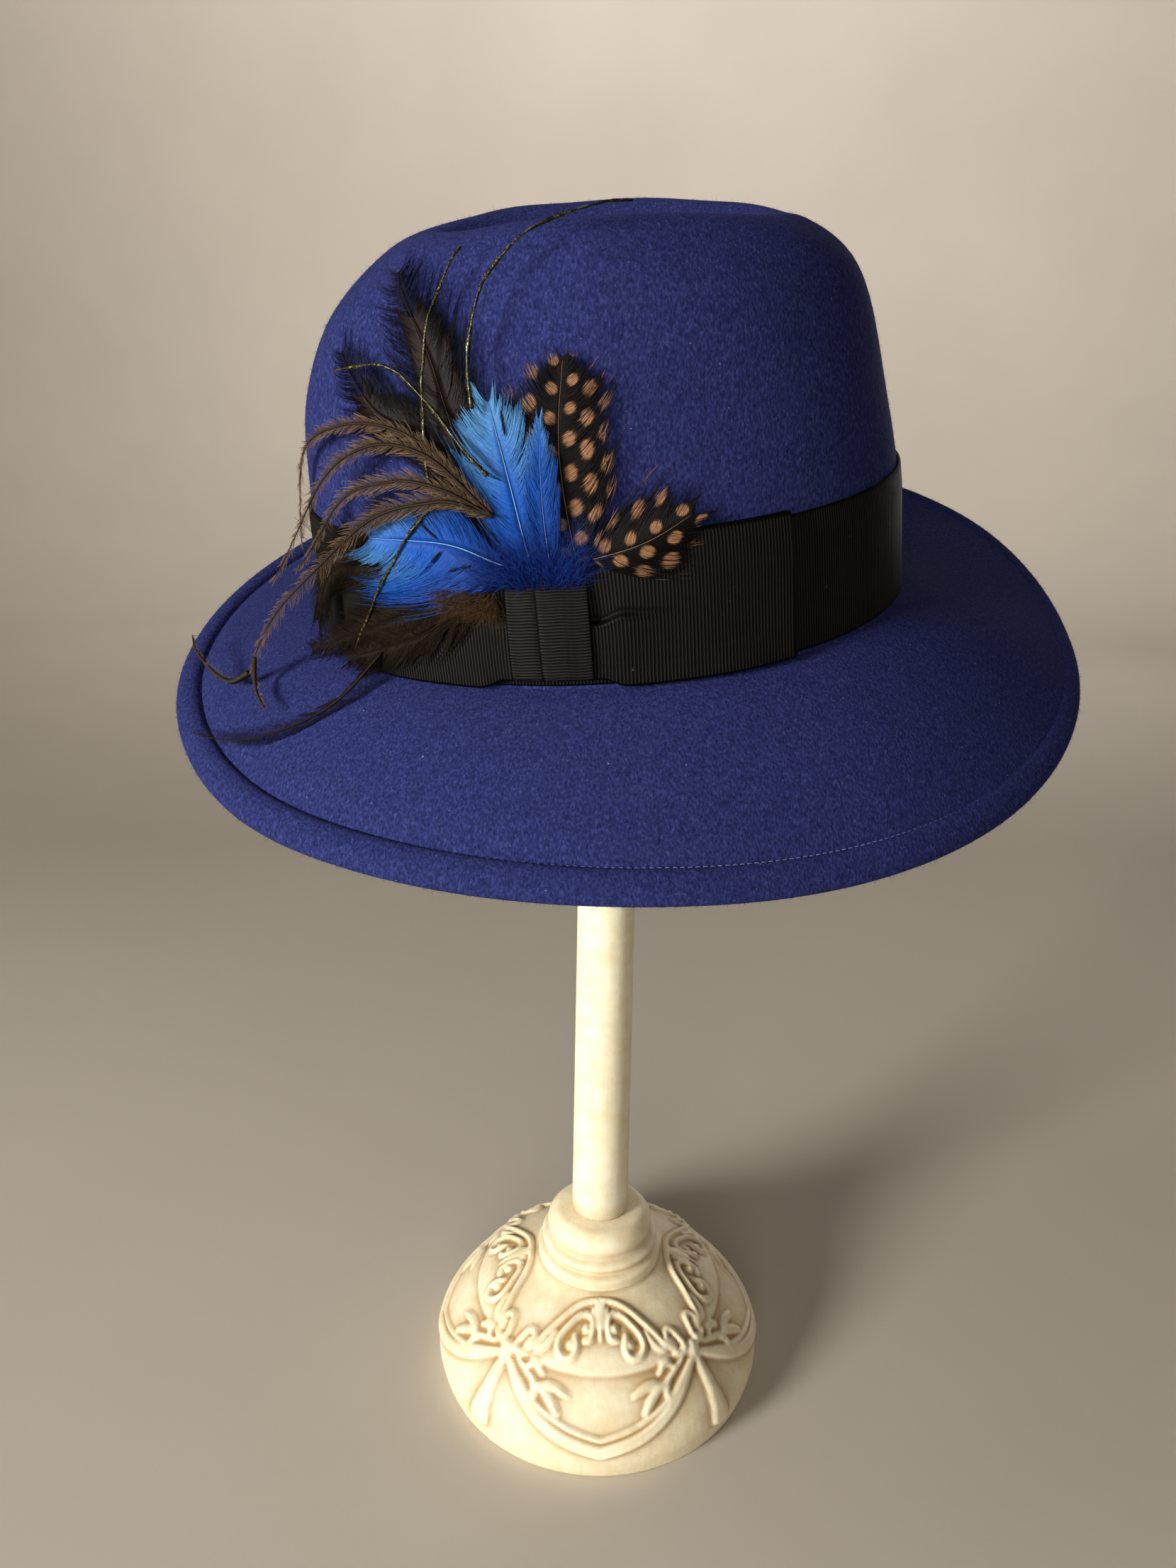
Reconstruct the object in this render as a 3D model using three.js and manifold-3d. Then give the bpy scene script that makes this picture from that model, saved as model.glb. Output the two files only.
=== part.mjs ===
import * as THREE from "three";
import Module from "manifold-3d";

// Felt fedora with a ribbon bow and a spray of feathers, on a cast hat stand.
// Millimetres, +Z up. The origin is the centre of the stand's underside.
// The hat has a frame of its own: +X is its front, -Y the side with the bow, and its origin is the
// middle of the oval where the brim leaves the crown.

// Wall thickness and the clearance between pieces
const FELT = 2.3;
const WELT = 4.4;
const RIBBON = 0.8;
const BAND = 1;
const GAP = 0.3;

// How the hat sits on the stand
const HAT_X = -2;
const HAT_Z = 357.1;
const HAT_TILT = 8.6;
const HAT_LEAN = -5.1;

// Crown sections from the brim's break to the middle of the dent: reach from the axis and height at
// the front, side and back, and the share by which the front half narrows
const CROWN = [
  { name: "break", front: 104.5, side: 85, back: 102, frontZ: 0, sideZ: 0, backZ: 0, pinch: 0 },
  { name: "band", front: 103.5, side: 83.5, back: 101.5, frontZ: 22, sideZ: 22, backZ: 22, pinch: 0 },
  { name: "band top", front: 102, side: 81, back: 100.5, frontZ: 44, sideZ: 44, backZ: 44, pinch: 0 },
  { name: "wall", front: 94.5, side: 77, back: 96.5, frontZ: 80, sideZ: 80, backZ: 76, pinch: 0.03 },
  { name: "shoulder", front: 86.5, side: 71, back: 85, frontZ: 106.5, sideZ: 108, backZ: 100.5, pinch: 0.1 },
  { name: "crease", front: 73, side: 60, back: 65.5, frontZ: 118.5, sideZ: 124, backZ: 117.5, pinch: 0.18 },
  { name: "crest", front: 62, side: 48, back: 50, frontZ: 121, sideZ: 127.5, backZ: 124.5, pinch: 0.26 },
  { name: "slope", front: 46, side: 34, back: 38, frontZ: 115.5, sideZ: 121, backZ: 119.5, pinch: 0.32 },
  { name: "floor", front: 23, side: 17, back: 20, frontZ: 107, sideZ: 109, backZ: 109, pinch: 0.3 },
  { name: "middle", front: 0, side: 0, back: 0, frontZ: 105, sideZ: 105, backZ: 105, pinch: 0 },
];
const CROWN_KEYS = ["front", "side", "back", "frontZ", "sideZ", "backZ", "pinch"];
const BAND_FOOT = 0.05;
const BAND_TOP = 2;

// Fall of the brim's edge below its break, anticlockwise from the front in even steps
const BRIM_FALL = [
  { toward: "front", fall: 35.5 },
  { toward: "front, far", fall: 6.7 },
  { toward: "far, front", fall: -10 },
  { toward: "far side", fall: -14 },
  { toward: "far, back", fall: -8.9 },
  { toward: "back, far", fall: 2.8 },
  { toward: "back", fall: 19 },
  { toward: "back, near", fall: 32.8 },
  { toward: "near, back", fall: 34.7 },
  { toward: "near side", fall: 39.9 },
  { toward: "near, front", fall: 49 },
  { toward: "front, near", fall: 49.3 },
];
const BRIM_LENGTH = 71.5;
const BRIM_FRONT_EXTRA = 6.9;
const BRIM_EARLY_FALL = 0.35;
const BRIM_CURL = 1.8;
const WELT_START = 0.885;
const WELT_STEP = 0.012;
const WELT_GROOVE = 0.36;
const EDGE_BULGE = 0.006;

// Steps of the felt's mesh: round the hat, up the crown and out along the brim
const AROUND = 50;
const CROWN_STEPS = [8.7, 8.1, 7.5, 7, 6.5, 6.1, 5.7, 5.3, 4.9, 4.4, 3.8, 3.2, 2.6, 2, 1, 0];
const WELT_STEPS = [0.94, 0.985];
const BRIM_STEPS = [0.1, 0.26, 0.42, 0.58, 0.73, 0.84, WELT_START, ...WELT_STEPS];
const EDGE_STEPS = [0.22, 0.5, 0.78];
const UNDER_STEPS = [0.6, 0.32, 0.09];
const LINING_STEPS = [0, 1.2, 2.5, 3.6, 4.4, 4.95, 5.4, 5.85, 6.3, 6.9, 7.6, 8.7];

// Bow, placed by angle round the crown and by level on the crown's sections
const KNOT = { from: 253.4, to: 267, steps: 3 };
const KNOT_STRAP = [
  { level: 1.46, lift: 2.05 },
  { level: 1.6, lift: 2.7 },
  { level: 1.64, lift: 3.9 },
  { level: 1.52, lift: 4.75 },
  { level: 1.2, lift: 5.15 },
  { level: 0.9, lift: 5.25 },
  { level: 0.6, lift: 5.15 },
  { level: 0.32, lift: 4.75 },
  { level: 0.2, lift: 3.9 },
  { level: 0.24, lift: 2.7 },
  { level: 0.38, lift: 2.05 },
];
const RIGHT_LOOP = { root: 260.8, end: 301.6, low: 0.04, high: 2.06 };
const LEFT_LOOP = { root: 259.6, end: 216.5, low: 0.04, high: 1.98 };
const LOOP_ROOT = { low: 0.44, high: 1.4, layers: 1.25 };
const LOOP_LAYERS = 2;
const LOOP_LIFT = GAP + BAND + GAP + RIBBON / 2;
const LOOP_HELD = 0.16;
const LOOP_SPREAD = 4.2;
const LOOP_LEG_STEPS = 9;
const LOOP_FOLD_STEPS = 4;

// Feathers: points of each shaft by angle, level and lift off the crown, and the vane's half width
const QUILL = 1.1;
const VANE_EDGE = 0.5;
const FEATHER_STEPS = 8;
const BROAD = [0.16, 0.42, 0.74, 0.93, 1, 0.98, 0.86, 0.62, 0.2];
const SLENDER = [0.3, 0.62, 0.88, 1, 0.95, 0.8, 0.58, 0.34, 0.12];
const EVEN = [0.6, 0.8, 0.95, 1, 1, 0.95, 0.85, 0.65, 0.3];
const FEATHERS = [
  { name: "feather_blue_upright", colour: 0x2f6fc4, vane: BROAD, half: 11.5,
    shaft: [[258, 1.8, 5.3], [255, 2.5, 5.3], [251.5, 3.14, 5.3]] },
  { name: "feather_blue_narrow", colour: 0x2f6fc4, vane: SLENDER, half: 5,
    shaft: [[261, 1.8, 6.8], [260.5, 2.4, 6.8], [261.5, 2.98, 6.8]] },
  { name: "feather_blue_side", colour: 0x2a64bd, vane: BROAD, half: 14,
    shaft: [[253.5, 1.82, 6.9], [244, 1.82, 7.8], [229, 1.56, 7.9]] },
  { name: "feather_guinea_tall", colour: 0x1d1815, vane: BROAD, half: 13.5,
    shaft: [[265.6, 1.8, 3.75], [264, 2.7, 3.75], [266, 3.52, 3.75]] },
  { name: "feather_guinea_side", colour: 0x1d1815, vane: BROAD, half: 9.5,
    shaft: [[268.2, 1.86, 5.2], [276, 1.98, 5.35], [284.5, 2.2, 5.35]] },
  { name: "feather_hackle_tall", colour: 0x17120f, vane: SLENDER, half: 8,
    shaft: [[255, 1.86, 3.75], [247, 2.85, 3.75], [239.5, 3.75, 3.6], [225, 4.62, 3]] },
  { name: "feather_hackle_side", colour: 0x17120f, vane: SLENDER, half: 7,
    shaft: [[250.4, 1.96, 2.2], [241, 2.8, 2.2], [229, 3.1, 2.2], [215.5, 3.7, 2.2]] },
];
const TAIL_SPRAY = [
  { vane: EVEN, half: 6.5, shaft: [[251, 1.5, 4.8], [240, 1.2, 6.2], [226, 0.76, 6.9], [206, 0.1, 11.5]] },
  { vane: EVEN, half: 6, shaft: [[250, 1.42, 4.8], [238, 0.8, 6.2], [227, 0.45, 6.7], [219, 0.2, 8.5]] },
  { vane: EVEN, half: 6, shaft: [[246, 1.38, 5.6], [231, 1.68, 6.3], [217, 1.5, 7.5], [209.5, 0.6, 9.5]] },
  { vane: EVEN, half: 1.8, shaft: [[228, 0.42, 6.7], [222, -0.3, 22], [214, -0.72, 42], [202, -0.95, 54]] },
];
const PLUME_SPRAY = [
  { vane: EVEN, half: 3.2,
    shaft: [[253, 2.3, 6.8], [243, 2.76, 10.5], [231, 2.8, 11], [218, 2.38, 12.5], [206, 1.25, 20]] },
  { vane: EVEN, half: 3,
    shaft: [[253, 2.3, 6.8], [245, 2.52, 10.5], [236, 2.56, 10.8], [224, 2.34, 11.5], [214, 1.55, 17]] },
  { vane: EVEN, half: 3.8,
    shaft: [[253, 2.3, 6.8], [244, 2.42, 10.8], [228, 2.12, 13], [211, 0.9, 24], [199, -0.4, 32]] },
  { vane: EVEN, half: 2.8,
    shaft: [[253, 2.3, 6.8], [240, 2.9, 9.8], [222, 2.95, 6.5], [203, 2.55, 4.5], [193, 1.45, 5]] },
  { vane: EVEN, half: 1.6,
    shaft: [[200.5, -0.25, 31], [197, -0.45, 38], [190, -0.3, 46], [181, -0.25, 53]] },
  { vane: EVEN, half: 1.6, shaft: [[204, 0.1, 29], [203, -0.25, 30], [207, -0.38, 32], [212, -0.4, 34]] },
];

// Stand: radius and height up the base, from the floor to the seat of the pole
const BASE = [
  { name: "foot", radius: 71.4, z: 0 },
  { name: "skirt", radius: 72.8, z: 5 },
  { name: "rim", radius: 73.4, z: 11 },
  { name: "shoulder", radius: 71.2, z: 18 },
  { name: "dome 1", radius: 66.4, z: 25 },
  { name: "dome 2", radius: 60, z: 32 },
  { name: "dome 3", radius: 52, z: 40 },
  { name: "dome 4", radius: 42, z: 47.5 },
  { name: "dome top", radius: 31, z: 53.5 },
  { name: "collar foot", radius: 27.5, z: 56 },
  { name: "collar low", radius: 27.5, z: 60.5 },
  { name: "low groove", radius: 24.6, z: 62.5 },
  { name: "middle ring", radius: 25.8, z: 66 },
  { name: "middle groove", radius: 22.8, z: 69 },
  { name: "top ring", radius: 23, z: 74.5 },
  { name: "lip", radius: 19.5, z: 79 },
  { name: "seat", radius: 15, z: 80 },
];
const BASE_AROUND = 36;
const REPEATS = 4;
const FIRST_KNOT = 226;
const RELIEF_SINK = 1.5;
const SWAG = { steps: 10, half: 2.4, rise: 1.6, knotLevel: 5.55, lowLevel: 2.65, droop: 1.3 };
const CREST = { steps: 8, half: 2.2, rise: 1.5, footLevel: 6.2, topLevel: 7.7, reach: 0.66 };
const TAIL = { steps: 2, half: 2.4, rise: 1.3, topLevel: 5.2, endLevel: 2.4 };
const ROSETTE = { sides: 7, radius: 4.2, top: 0.6, rise: 2.6 };
const RIDGE_TOP = 0.6;
const POLE_BOTTOM = 12.4;
const POLE_TOP = 10.6;
const POLE_AROUND = 28;
const TOP_DEPTH = 16;
const TOP_GAP = 0.7;
const TOP_AROUND = 20;
const TOP_STEPS = [8.7, 8.1, 7.5, 7];
const TOP_FOOT = 0.62;

const ROYAL_FELT = 0x2b2f73;
const BLACK_RIBBON = 0x1b1917;
const TAIL_BROWN = 0x2a1f15;
const PLUME_BROWN = 0x584637;
const CREAM = 0xe6d9b4;
const ROUGH = { felt: 0.95, ribbon: 0.8, vane: 0.6, plume: 0.8, stand: 0.5 };

// Small steps over which slopes are taken: radians, shares of a section, degrees and shares of a shaft
const TURN_STEP = 0.01;
const PLACE_STEP = 0.03;
const DEGREE_STEP = 0.5;
const LEVEL_STEP = 0.1;
const SHAFT_STEP = 0.02;

const rad = THREE.MathUtils.degToRad;
const mix = THREE.MathUtils.lerp;

/** Smooth curve through evenly spaced values, carried on straight before the first. */
function smooth(values, t) {
  const last = values.length - 1;
  const slope = (k) => (values[Math.min(k + 1, last)] - values[Math.max(k - 1, 0)])
    / (Math.min(k + 1, last) - Math.max(k - 1, 0));
  if (t < 0) {
    return values[0] + slope(0) * t;
  }
  const i = Math.min(Math.floor(t), last - 1);
  const u = t - i;
  const bend = u * u * (3 - 2 * u);
  return mix(values[i], values[i + 1], bend)
    + u * (1 - u) * ((1 - u) * slope(i) - u * slope(i + 1));
}

/** The same curve round a closed run of values, by angle in radians. */
function smoothAround(values, angle) {
  const count = values.length;
  const turn = 2 * Math.PI;
  const t = ((angle / turn) % 1 + 1) % 1 * count;
  const window = [-1, 0, 1, 2].map((k) => values[(Math.floor(t) + k + count) % count]);
  return smooth(window, 1 + t - Math.floor(t));
}

const crownColumns = Object.fromEntries(CROWN_KEYS.map((key) => [key, CROWN.map((row) => row[key])]));
const brimFalls = BRIM_FALL.map((row) => row.fall);

/** Outer face of the crown at an angle and a level counted in sections. */
function crownPoint(angle, level) {
  const at = (key) => smooth(crownColumns[key], level);
  const c = Math.cos(angle);
  const s = Math.sin(angle);
  const end = c > 0 ? "front" : "back";
  const y = at("side") * s * (1 - at("pinch") * Math.max(c, 0));
  const z = mix(at("sideZ"), at(end + "Z"), c * c);
  return new THREE.Vector3(at(end) * c, y, z);
}

/** Upper face of the brim, out from the break (0) to the edge (1). */
function brimPoint(angle, out) {
  const base = crownPoint(angle, 0);
  const fall = smoothAround(brimFalls, angle);
  const length = BRIM_LENGTH + BRIM_FRONT_EXTRA * Math.cos(angle);
  const width = Math.sqrt(length * length - fall * fall);
  const { front, side } = CROWN[0];
  const away = new THREE.Vector3(Math.cos(angle) / front, Math.sin(angle) / side, 0);
  base.addScaledVector(away.normalize(), width * out);
  base.z -= fall * (BRIM_EARLY_FALL * out + (1 - BRIM_EARLY_FALL) * Math.pow(out, BRIM_CURL));
  return base;
}

/** Point off a face given by two numbers, along its outward normal. */
function offFace(face, angle, place, lift) {
  const here = face(angle, place);
  const round = face(angle + TURN_STEP, place).sub(face(angle - TURN_STEP, place));
  const up = face(angle, place + PLACE_STEP).sub(here).normalize();
  const down = here.clone().sub(face(angle, place - PLACE_STEP)).normalize();
  const normal = round.cross(up.add(down)).normalize();
  return here.addScaledVector(normal, lift);
}

/** The felt's upper face as one run: crown levels above 0, brim shares as numbers below 0. */
function feltFace(angle, place) {
  return place < 0 ? brimPoint(angle, -place) : crownPoint(angle, place);
}

/** Point off the crown by angle in degrees, level and lift. */
const wrap = (angle, level, lift) => offFace(crownPoint, rad(angle), level, lift);

/** Closed surface over a run of rings: joined end to end, or capped at both ends. */
function skin(rings, endless = false) {
  const count = rings[0].length;
  const points = rings.flat();
  const faces = [];
  const spans = endless ? rings.length : rings.length - 1;
  for (let i = 0; i < spans; i++) {
    const row = i * count;
    const next = ((i + 1) % rings.length) * count;
    for (let j = 0; j < count; j++) {
      const k = (j + 1) % count;
      faces.push(row + j, row + k, next + k, row + j, next + k, next + j);
    }
  }
  if (!endless) {
    [0, rings.length - 1].forEach((end) => {
      const start = end * count;
      const middle = points.length;
      points.push(rings[end].reduce((sum, p) => sum.add(p), new THREE.Vector3()).divideScalar(count));
      for (let j = 0; j < count; j++) {
        const k = (j + 1) % count;
        faces.push(middle, start + (end === 0 ? k : j), start + (end === 0 ? j : k));
      }
    });
  }
  return solid(points, faces);
}

/** Indexed geometry with its faces turned outward. */
function solid(points, faces) {
  let volume = 0;
  for (let i = 0; i < faces.length; i += 3) {
    const [a, b, c] = [points[faces[i]], points[faces[i + 1]], points[faces[i + 2]]];
    volume += a.dot(b.clone().cross(c));
  }
  const order = volume < 0 ? faces.toReversed() : faces;
  const places = points.flatMap((p) => p.toArray());
  const geometry = new THREE.BufferGeometry();
  geometry.setAttribute("position", new THREE.Float32BufferAttribute(places, 3));
  geometry.setIndex(order);
  geometry.computeVertexNormals();
  return geometry;
}

const wasm = await Module();
wasm.setup();

/** One closed body from several that run into each other. */
function fuse(geometries) {
  const bodies = geometries.map((geometry) => new wasm.Manifold(new wasm.Mesh({
    numProp: 3,
    vertProperties: new Float32Array(geometry.getAttribute("position").array),
    triVerts: new Uint32Array(geometry.getIndex().array),
  })));
  const mesh = bodies.reduce((sum, body) => sum.add(body)).getMesh();
  const geometry = new THREE.BufferGeometry();
  geometry.setAttribute("position", new THREE.Float32BufferAttribute(mesh.vertProperties, 3));
  geometry.setIndex(Array.from(mesh.triVerts));
  geometry.computeVertexNormals();
  return geometry;
}

function piece(name, geometry, colour, roughness) {
  const material = new THREE.MeshStandardMaterial({ color: colour, roughness, metalness: 0 });
  const mesh = new THREE.Mesh(geometry, material);
  mesh.name = name;
  return mesh;
}

const angles = (count) => Array.from({ length: count }, (_, i) => i / count * 2 * Math.PI);
const steps = (count) => Array.from({ length: count + 1 }, (_, i) => i / count);

/** Crown and brim in one felt wall, with the brim's edge turned under as a welt. */
function feltBody() {
  const ring = (place, depth) => (
    angles(AROUND).map((angle) => offFace(feltFace, angle, place, -depth)));
  const rounded = (share) => -1 - EDGE_BULGE * Math.sin(Math.PI * share);
  const outside = CROWN_STEPS.map((level) => ring(level, 0));
  const upper = BRIM_STEPS.map((out) => ring(-out, out === WELT_START ? WELT_GROOVE : 0));
  const edge = EDGE_STEPS.map((share) => ring(rounded(share), WELT * share));
  const welt = [...WELT_STEPS.toReversed(), WELT_START + WELT_STEP].map((out) => ring(-out, WELT));
  const under = [WELT_START - WELT_STEP, ...UNDER_STEPS].map((out) => ring(-out, FELT));
  const inside = LINING_STEPS.map((level) => ring(level, FELT));
  return skin([...outside, ...upper, ...edge, ...welt, ...under, ...inside]);
}

/** Ribbon ring on the crown. */
function hatBand() {
  const levels = [BAND_FOOT, BAND_TOP / 2, BAND_TOP];
  const rings = angles(AROUND).map((angle) => [
    ...levels.map((level) => offFace(crownPoint, angle, level, GAP)),
    ...levels.toReversed().map((level) => offFace(crownPoint, angle, level, GAP + BAND)),
  ]);
  return skin(rings, true);
}

/** Ribbon folded back on itself, gathered at its root under the knot. */
function bowLoop({ root, end, low, high }) {
  const sense = Math.sign(end - root);
  const perMm = 1 / rad(1) / wrap(end, 1, LOOP_LIFT).setZ(0).length();
  const freed = (f) => THREE.MathUtils.smoothstep((f - LOOP_HELD) * LOOP_SPREAD, 0, 1);
  const path = [];
  const leg = steps(LOOP_LEG_STEPS).map((f) => ({ angle: mix(root, end, f), f }));
  leg.forEach(({ angle, f }) => path.push({ angle, lift: LOOP_LIFT, f }));
  steps(LOOP_FOLD_STEPS).slice(1, -1).forEach((f) => path.push({
    angle: end + sense * perMm * Math.sin(f * Math.PI) * LOOP_LAYERS / 2,
    lift: LOOP_LIFT + (1 - Math.cos(f * Math.PI)) * LOOP_LAYERS / 2,
    f: 1,
  }));
  leg.toReversed().forEach(({ angle, f }) => {
    path.push({ angle, lift: LOOP_LIFT + mix(LOOP_ROOT.layers, LOOP_LAYERS, freed(f)), f });
  });
  const rings = path.map((at, i) => {
    const before = path[Math.max(i - 1, 0)];
    const after = path[Math.min(i + 1, path.length - 1)];
    const run = (after.angle - before.angle) / perMm;
    const along = new THREE.Vector2(run, after.lift - before.lift).normalize();
    const lowest = mix(LOOP_ROOT.low, low, freed(at.f));
    const highest = mix(LOOP_ROOT.high, high, freed(at.f));
    const corner = (level, side) => wrap(at.angle - side * along.y * perMm * RIBBON / 2, level,
      at.lift + side * along.x * RIBBON / 2);
    const levels = [lowest, (lowest + highest) / 2, highest];
    const inner = levels.map((level) => corner(level, -1));
    const outer = levels.toReversed().map((level) => corner(level, 1));
    return [...inner, ...outer];
  });
  return skin(rings);
}

/** Strap over the gathered roots of the two loops. */
function bowKnot() {
  const across = steps(KNOT.steps).map((f) => mix(KNOT.from, KNOT.to, f));
  const perLevel = CROWN[1].sideZ;
  const rings = KNOT_STRAP.map((at, i) => {
    const before = KNOT_STRAP[Math.max(i - 1, 0)];
    const after = KNOT_STRAP[Math.min(i + 1, KNOT_STRAP.length - 1)];
    const run = (after.level - before.level) * perLevel;
    const along = new THREE.Vector2(run, after.lift - before.lift).normalize();
    const corner = (angle, side) => wrap(angle, at.level - side * along.y * RIBBON / 2 / perLevel,
      at.lift + side * along.x * RIBBON / 2);
    return [...across.map((a) => corner(a, -1)), ...across.toReversed().map((a) => corner(a, 1))];
  });
  return skin(rings);
}

/** Feather vane along its shaft, thickest at the quill, bent to the crown across its width. */
function vane({ shaft, half, vane: outline }) {
  const curve = new THREE.CatmullRomCurve3(shaft.map((p) => new THREE.Vector3(...p)));
  const rings = steps(FEATHER_STEPS).map((f, i) => {
    const [angle, level, lift] = curve.getPoint(f).toArray();
    const a = curve.getPoint(Math.max(f - SHAFT_STEP, 0));
    const b = curve.getPoint(Math.min(f + SHAFT_STEP, 1));
    const round = [-DEGREE_STEP, DEGREE_STEP].map((d) => wrap(angle + d, level, lift));
    const upright = [-LEVEL_STEP, LEVEL_STEP].map((d) => wrap(angle, level + d, lift));
    const perAngle = round[0].distanceTo(round[1]) / (2 * DEGREE_STEP);
    const perLevel = upright[0].distanceTo(upright[1]) / (2 * LEVEL_STEP);
    const along = new THREE.Vector2((b.x - a.x) * perAngle, (b.y - a.y) * perLevel).normalize();
    const width = half * outline[i];
    const at = (side, up) => wrap(angle - side * width * along.y / perAngle,
      level + side * width * along.x / perLevel, lift + up / 2);
    const under = [at(-1, -VANE_EDGE), at(0, -QUILL), at(1, -VANE_EDGE)];
    const over = [at(1, VANE_EDGE), at(0, QUILL), at(-1, VANE_EDGE)];
    return [...under, ...over];
  });
  return skin(rings);
}

const baseRadii = BASE.map((row) => row.radius);
const baseHeights = BASE.map((row) => row.z);

/** Outer face of the stand's base at an angle and a level counted in its rows. */
function basePoint(angle, level) {
  const radius = smooth(baseRadii, level);
  const z = smooth(baseHeights, level);
  return new THREE.Vector3(Math.cos(angle) * radius, Math.sin(angle) * radius, z);
}

const onBase = (angle, level, lift) => offFace(basePoint, rad(angle), level, lift);

/** Raised ridge on the base along a path of angles and levels. */
function ridge(path, half, rise) {
  const rings = path.map((at, i) => {
    const before = path[Math.max(i - 1, 0)];
    const after = path[Math.min(i + 1, path.length - 1)];
    const here = onBase(at.angle, at.level, 0);
    const out = onBase(at.angle, at.level, 1).sub(here);
    const along = onBase(after.angle, after.level, 0).sub(onBase(before.angle, before.level, 0));
    const side = along.cross(out).normalize();
    const corner = (across, up) => (
      here.clone().addScaledVector(side, across * half).addScaledVector(out, up));
    const foot = [corner(-1, -RELIEF_SINK), corner(1, -RELIEF_SINK)];
    return [...foot, corner(RIDGE_TOP, rise), corner(-RIDGE_TOP, rise)];
  });
  return skin(rings);
}

/** Raised round knot on the base at the top of a swag. */
function rosette(angle) {
  const { sides, radius, top, rise } = ROSETTE;
  const middle = onBase(angle, SWAG.knotLevel, 0);
  const out = onBase(angle, SWAG.knotLevel, 1).sub(middle).normalize();
  const button = new THREE.CylinderGeometry(radius * top, radius, rise * 2, sides);
  const upright = new THREE.Vector3(0, 1, 0);
  button.applyQuaternion(new THREE.Quaternion().setFromUnitVectors(upright, out));
  button.translate(middle.x, middle.y, middle.z);
  return welded(button);
}

/** Cast foot: a moulded dome with ribbon swags, knots, tails and crests raised on it. */
function standBase() {
  const ring = (row, level) => angles(BASE_AROUND).map((angle) => basePoint(angle, level));
  const body = skin(BASE.map(ring));
  const span = 360 / REPEATS;
  const relief = [];
  for (let i = 0; i < REPEATS; i++) {
    const knot = FIRST_KNOT + i * span;
    relief.push(ridge(steps(SWAG.steps).map((f) => ({
      angle: knot + f * span,
      level: mix(SWAG.knotLevel, SWAG.lowLevel, Math.pow(Math.sin(f * Math.PI), SWAG.droop)),
    })), SWAG.half, SWAG.rise));
    relief.push(ridge(steps(CREST.steps).map((f) => ({
      angle: knot + span / 2 + (f - 0.5) * span * CREST.reach,
      level: mix(CREST.footLevel, CREST.topLevel, Math.sin(f * Math.PI)),
    })), CREST.half, CREST.rise));
    relief.push(ridge(steps(TAIL.steps).map((f) => ({
      angle: knot,
      level: mix(TAIL.topLevel, TAIL.endLevel, f),
    })), TAIL.half, TAIL.rise));
    relief.push(rosette(knot));
  }
  return fuse([body, ...relief]);
}

/** The same geometry with points that coincide made one. */
function welded(geometry) {
  const flat = geometry.toNonIndexed().getAttribute("position");
  const found = new Map();
  const points = [];
  const faces = [];
  for (let i = 0; i < flat.count; i++) {
    const p = new THREE.Vector3().fromBufferAttribute(flat, i);
    const key = p.toArray().map((v) => v.toFixed(4)).join(" ");
    if (!found.has(key)) {
      found.set(key, points.length);
      points.push(p);
    }
    faces.push(found.get(key));
  }
  const whole = [];
  for (let i = 0; i < faces.length; i += 3) {
    const corners = faces.slice(i, i + 3);
    if (new Set(corners).size === 3) {
      whole.push(...corners);
    }
  }
  return solid(points, whole);
}

const hat = new THREE.Group();
hat.name = "hat";
hat.position.set(HAT_X, 0, HAT_Z);
hat.rotation.set(rad(HAT_TILT), rad(HAT_LEAN), 0, "YXZ");
hat.updateMatrix();

/** Plain block inside the crown: its top follows the underside of the dent, its foot is level. */
function standTop() {
  const dent = (level) => angles(TOP_AROUND).map((angle) => (
    offFace(crownPoint, angle, level, -FELT - TOP_GAP).applyMatrix4(hat.matrix)));
  const tops = TOP_STEPS.map(dent);
  const lowest = Math.min(...tops[0].map((p) => p.z)) - TOP_DEPTH;
  const rim = tops.at(-1).map((p) => p.clone().setZ(p.z - TOP_DEPTH / 2));
  const foot = rim.map((p) => new THREE.Vector3(p.x * TOP_FOOT, p.y * TOP_FOOT, lowest));
  return { geometry: skin([...tops, rim, foot]), lowest };
}

hat.add(piece("felt_body", feltBody(), ROYAL_FELT, ROUGH.felt));
hat.add(piece("hat_band", hatBand(), BLACK_RIBBON, ROUGH.ribbon));
hat.add(piece("bow_right_loop", bowLoop(RIGHT_LOOP), BLACK_RIBBON, ROUGH.ribbon));
hat.add(piece("bow_left_loop", bowLoop(LEFT_LOOP), BLACK_RIBBON, ROUGH.ribbon));
hat.add(piece("bow_knot", bowKnot(), BLACK_RIBBON, ROUGH.ribbon));
FEATHERS.forEach((row) => hat.add(piece(row.name, vane(row), row.colour, ROUGH.vane)));
hat.add(piece("feather_tail_spray", fuse(TAIL_SPRAY.map(vane)), TAIL_BROWN, ROUGH.vane));
hat.add(piece("feather_plume_spray", fuse(PLUME_SPRAY.map(vane)), PLUME_BROWN, ROUGH.plume));

const top = standTop();
const poleFoot = BASE.at(-1).z + GAP;
const poleLength = top.lowest - GAP - poleFoot;
const poleSolid = welded(new THREE.CylinderGeometry(POLE_TOP, POLE_BOTTOM, poleLength, POLE_AROUND));
const pole = piece("stand_pole", poleSolid, CREAM, ROUGH.stand);
pole.rotation.x = Math.PI / 2;
pole.position.z = poleFoot + poleLength / 2;

const stand = new THREE.Group();
stand.name = "stand";
stand.add(piece("stand_base", standBase(), CREAM, ROUGH.stand));
stand.add(pole);
stand.add(piece("stand_top", top.geometry, CREAM, ROUGH.stand));

const group = new THREE.Group();
group.name = "fedora_on_stand";
group.add(stand, hat);
export default group;
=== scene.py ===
import math

import bpy
import numpy as np
from mathutils import Matrix, Vector


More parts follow.
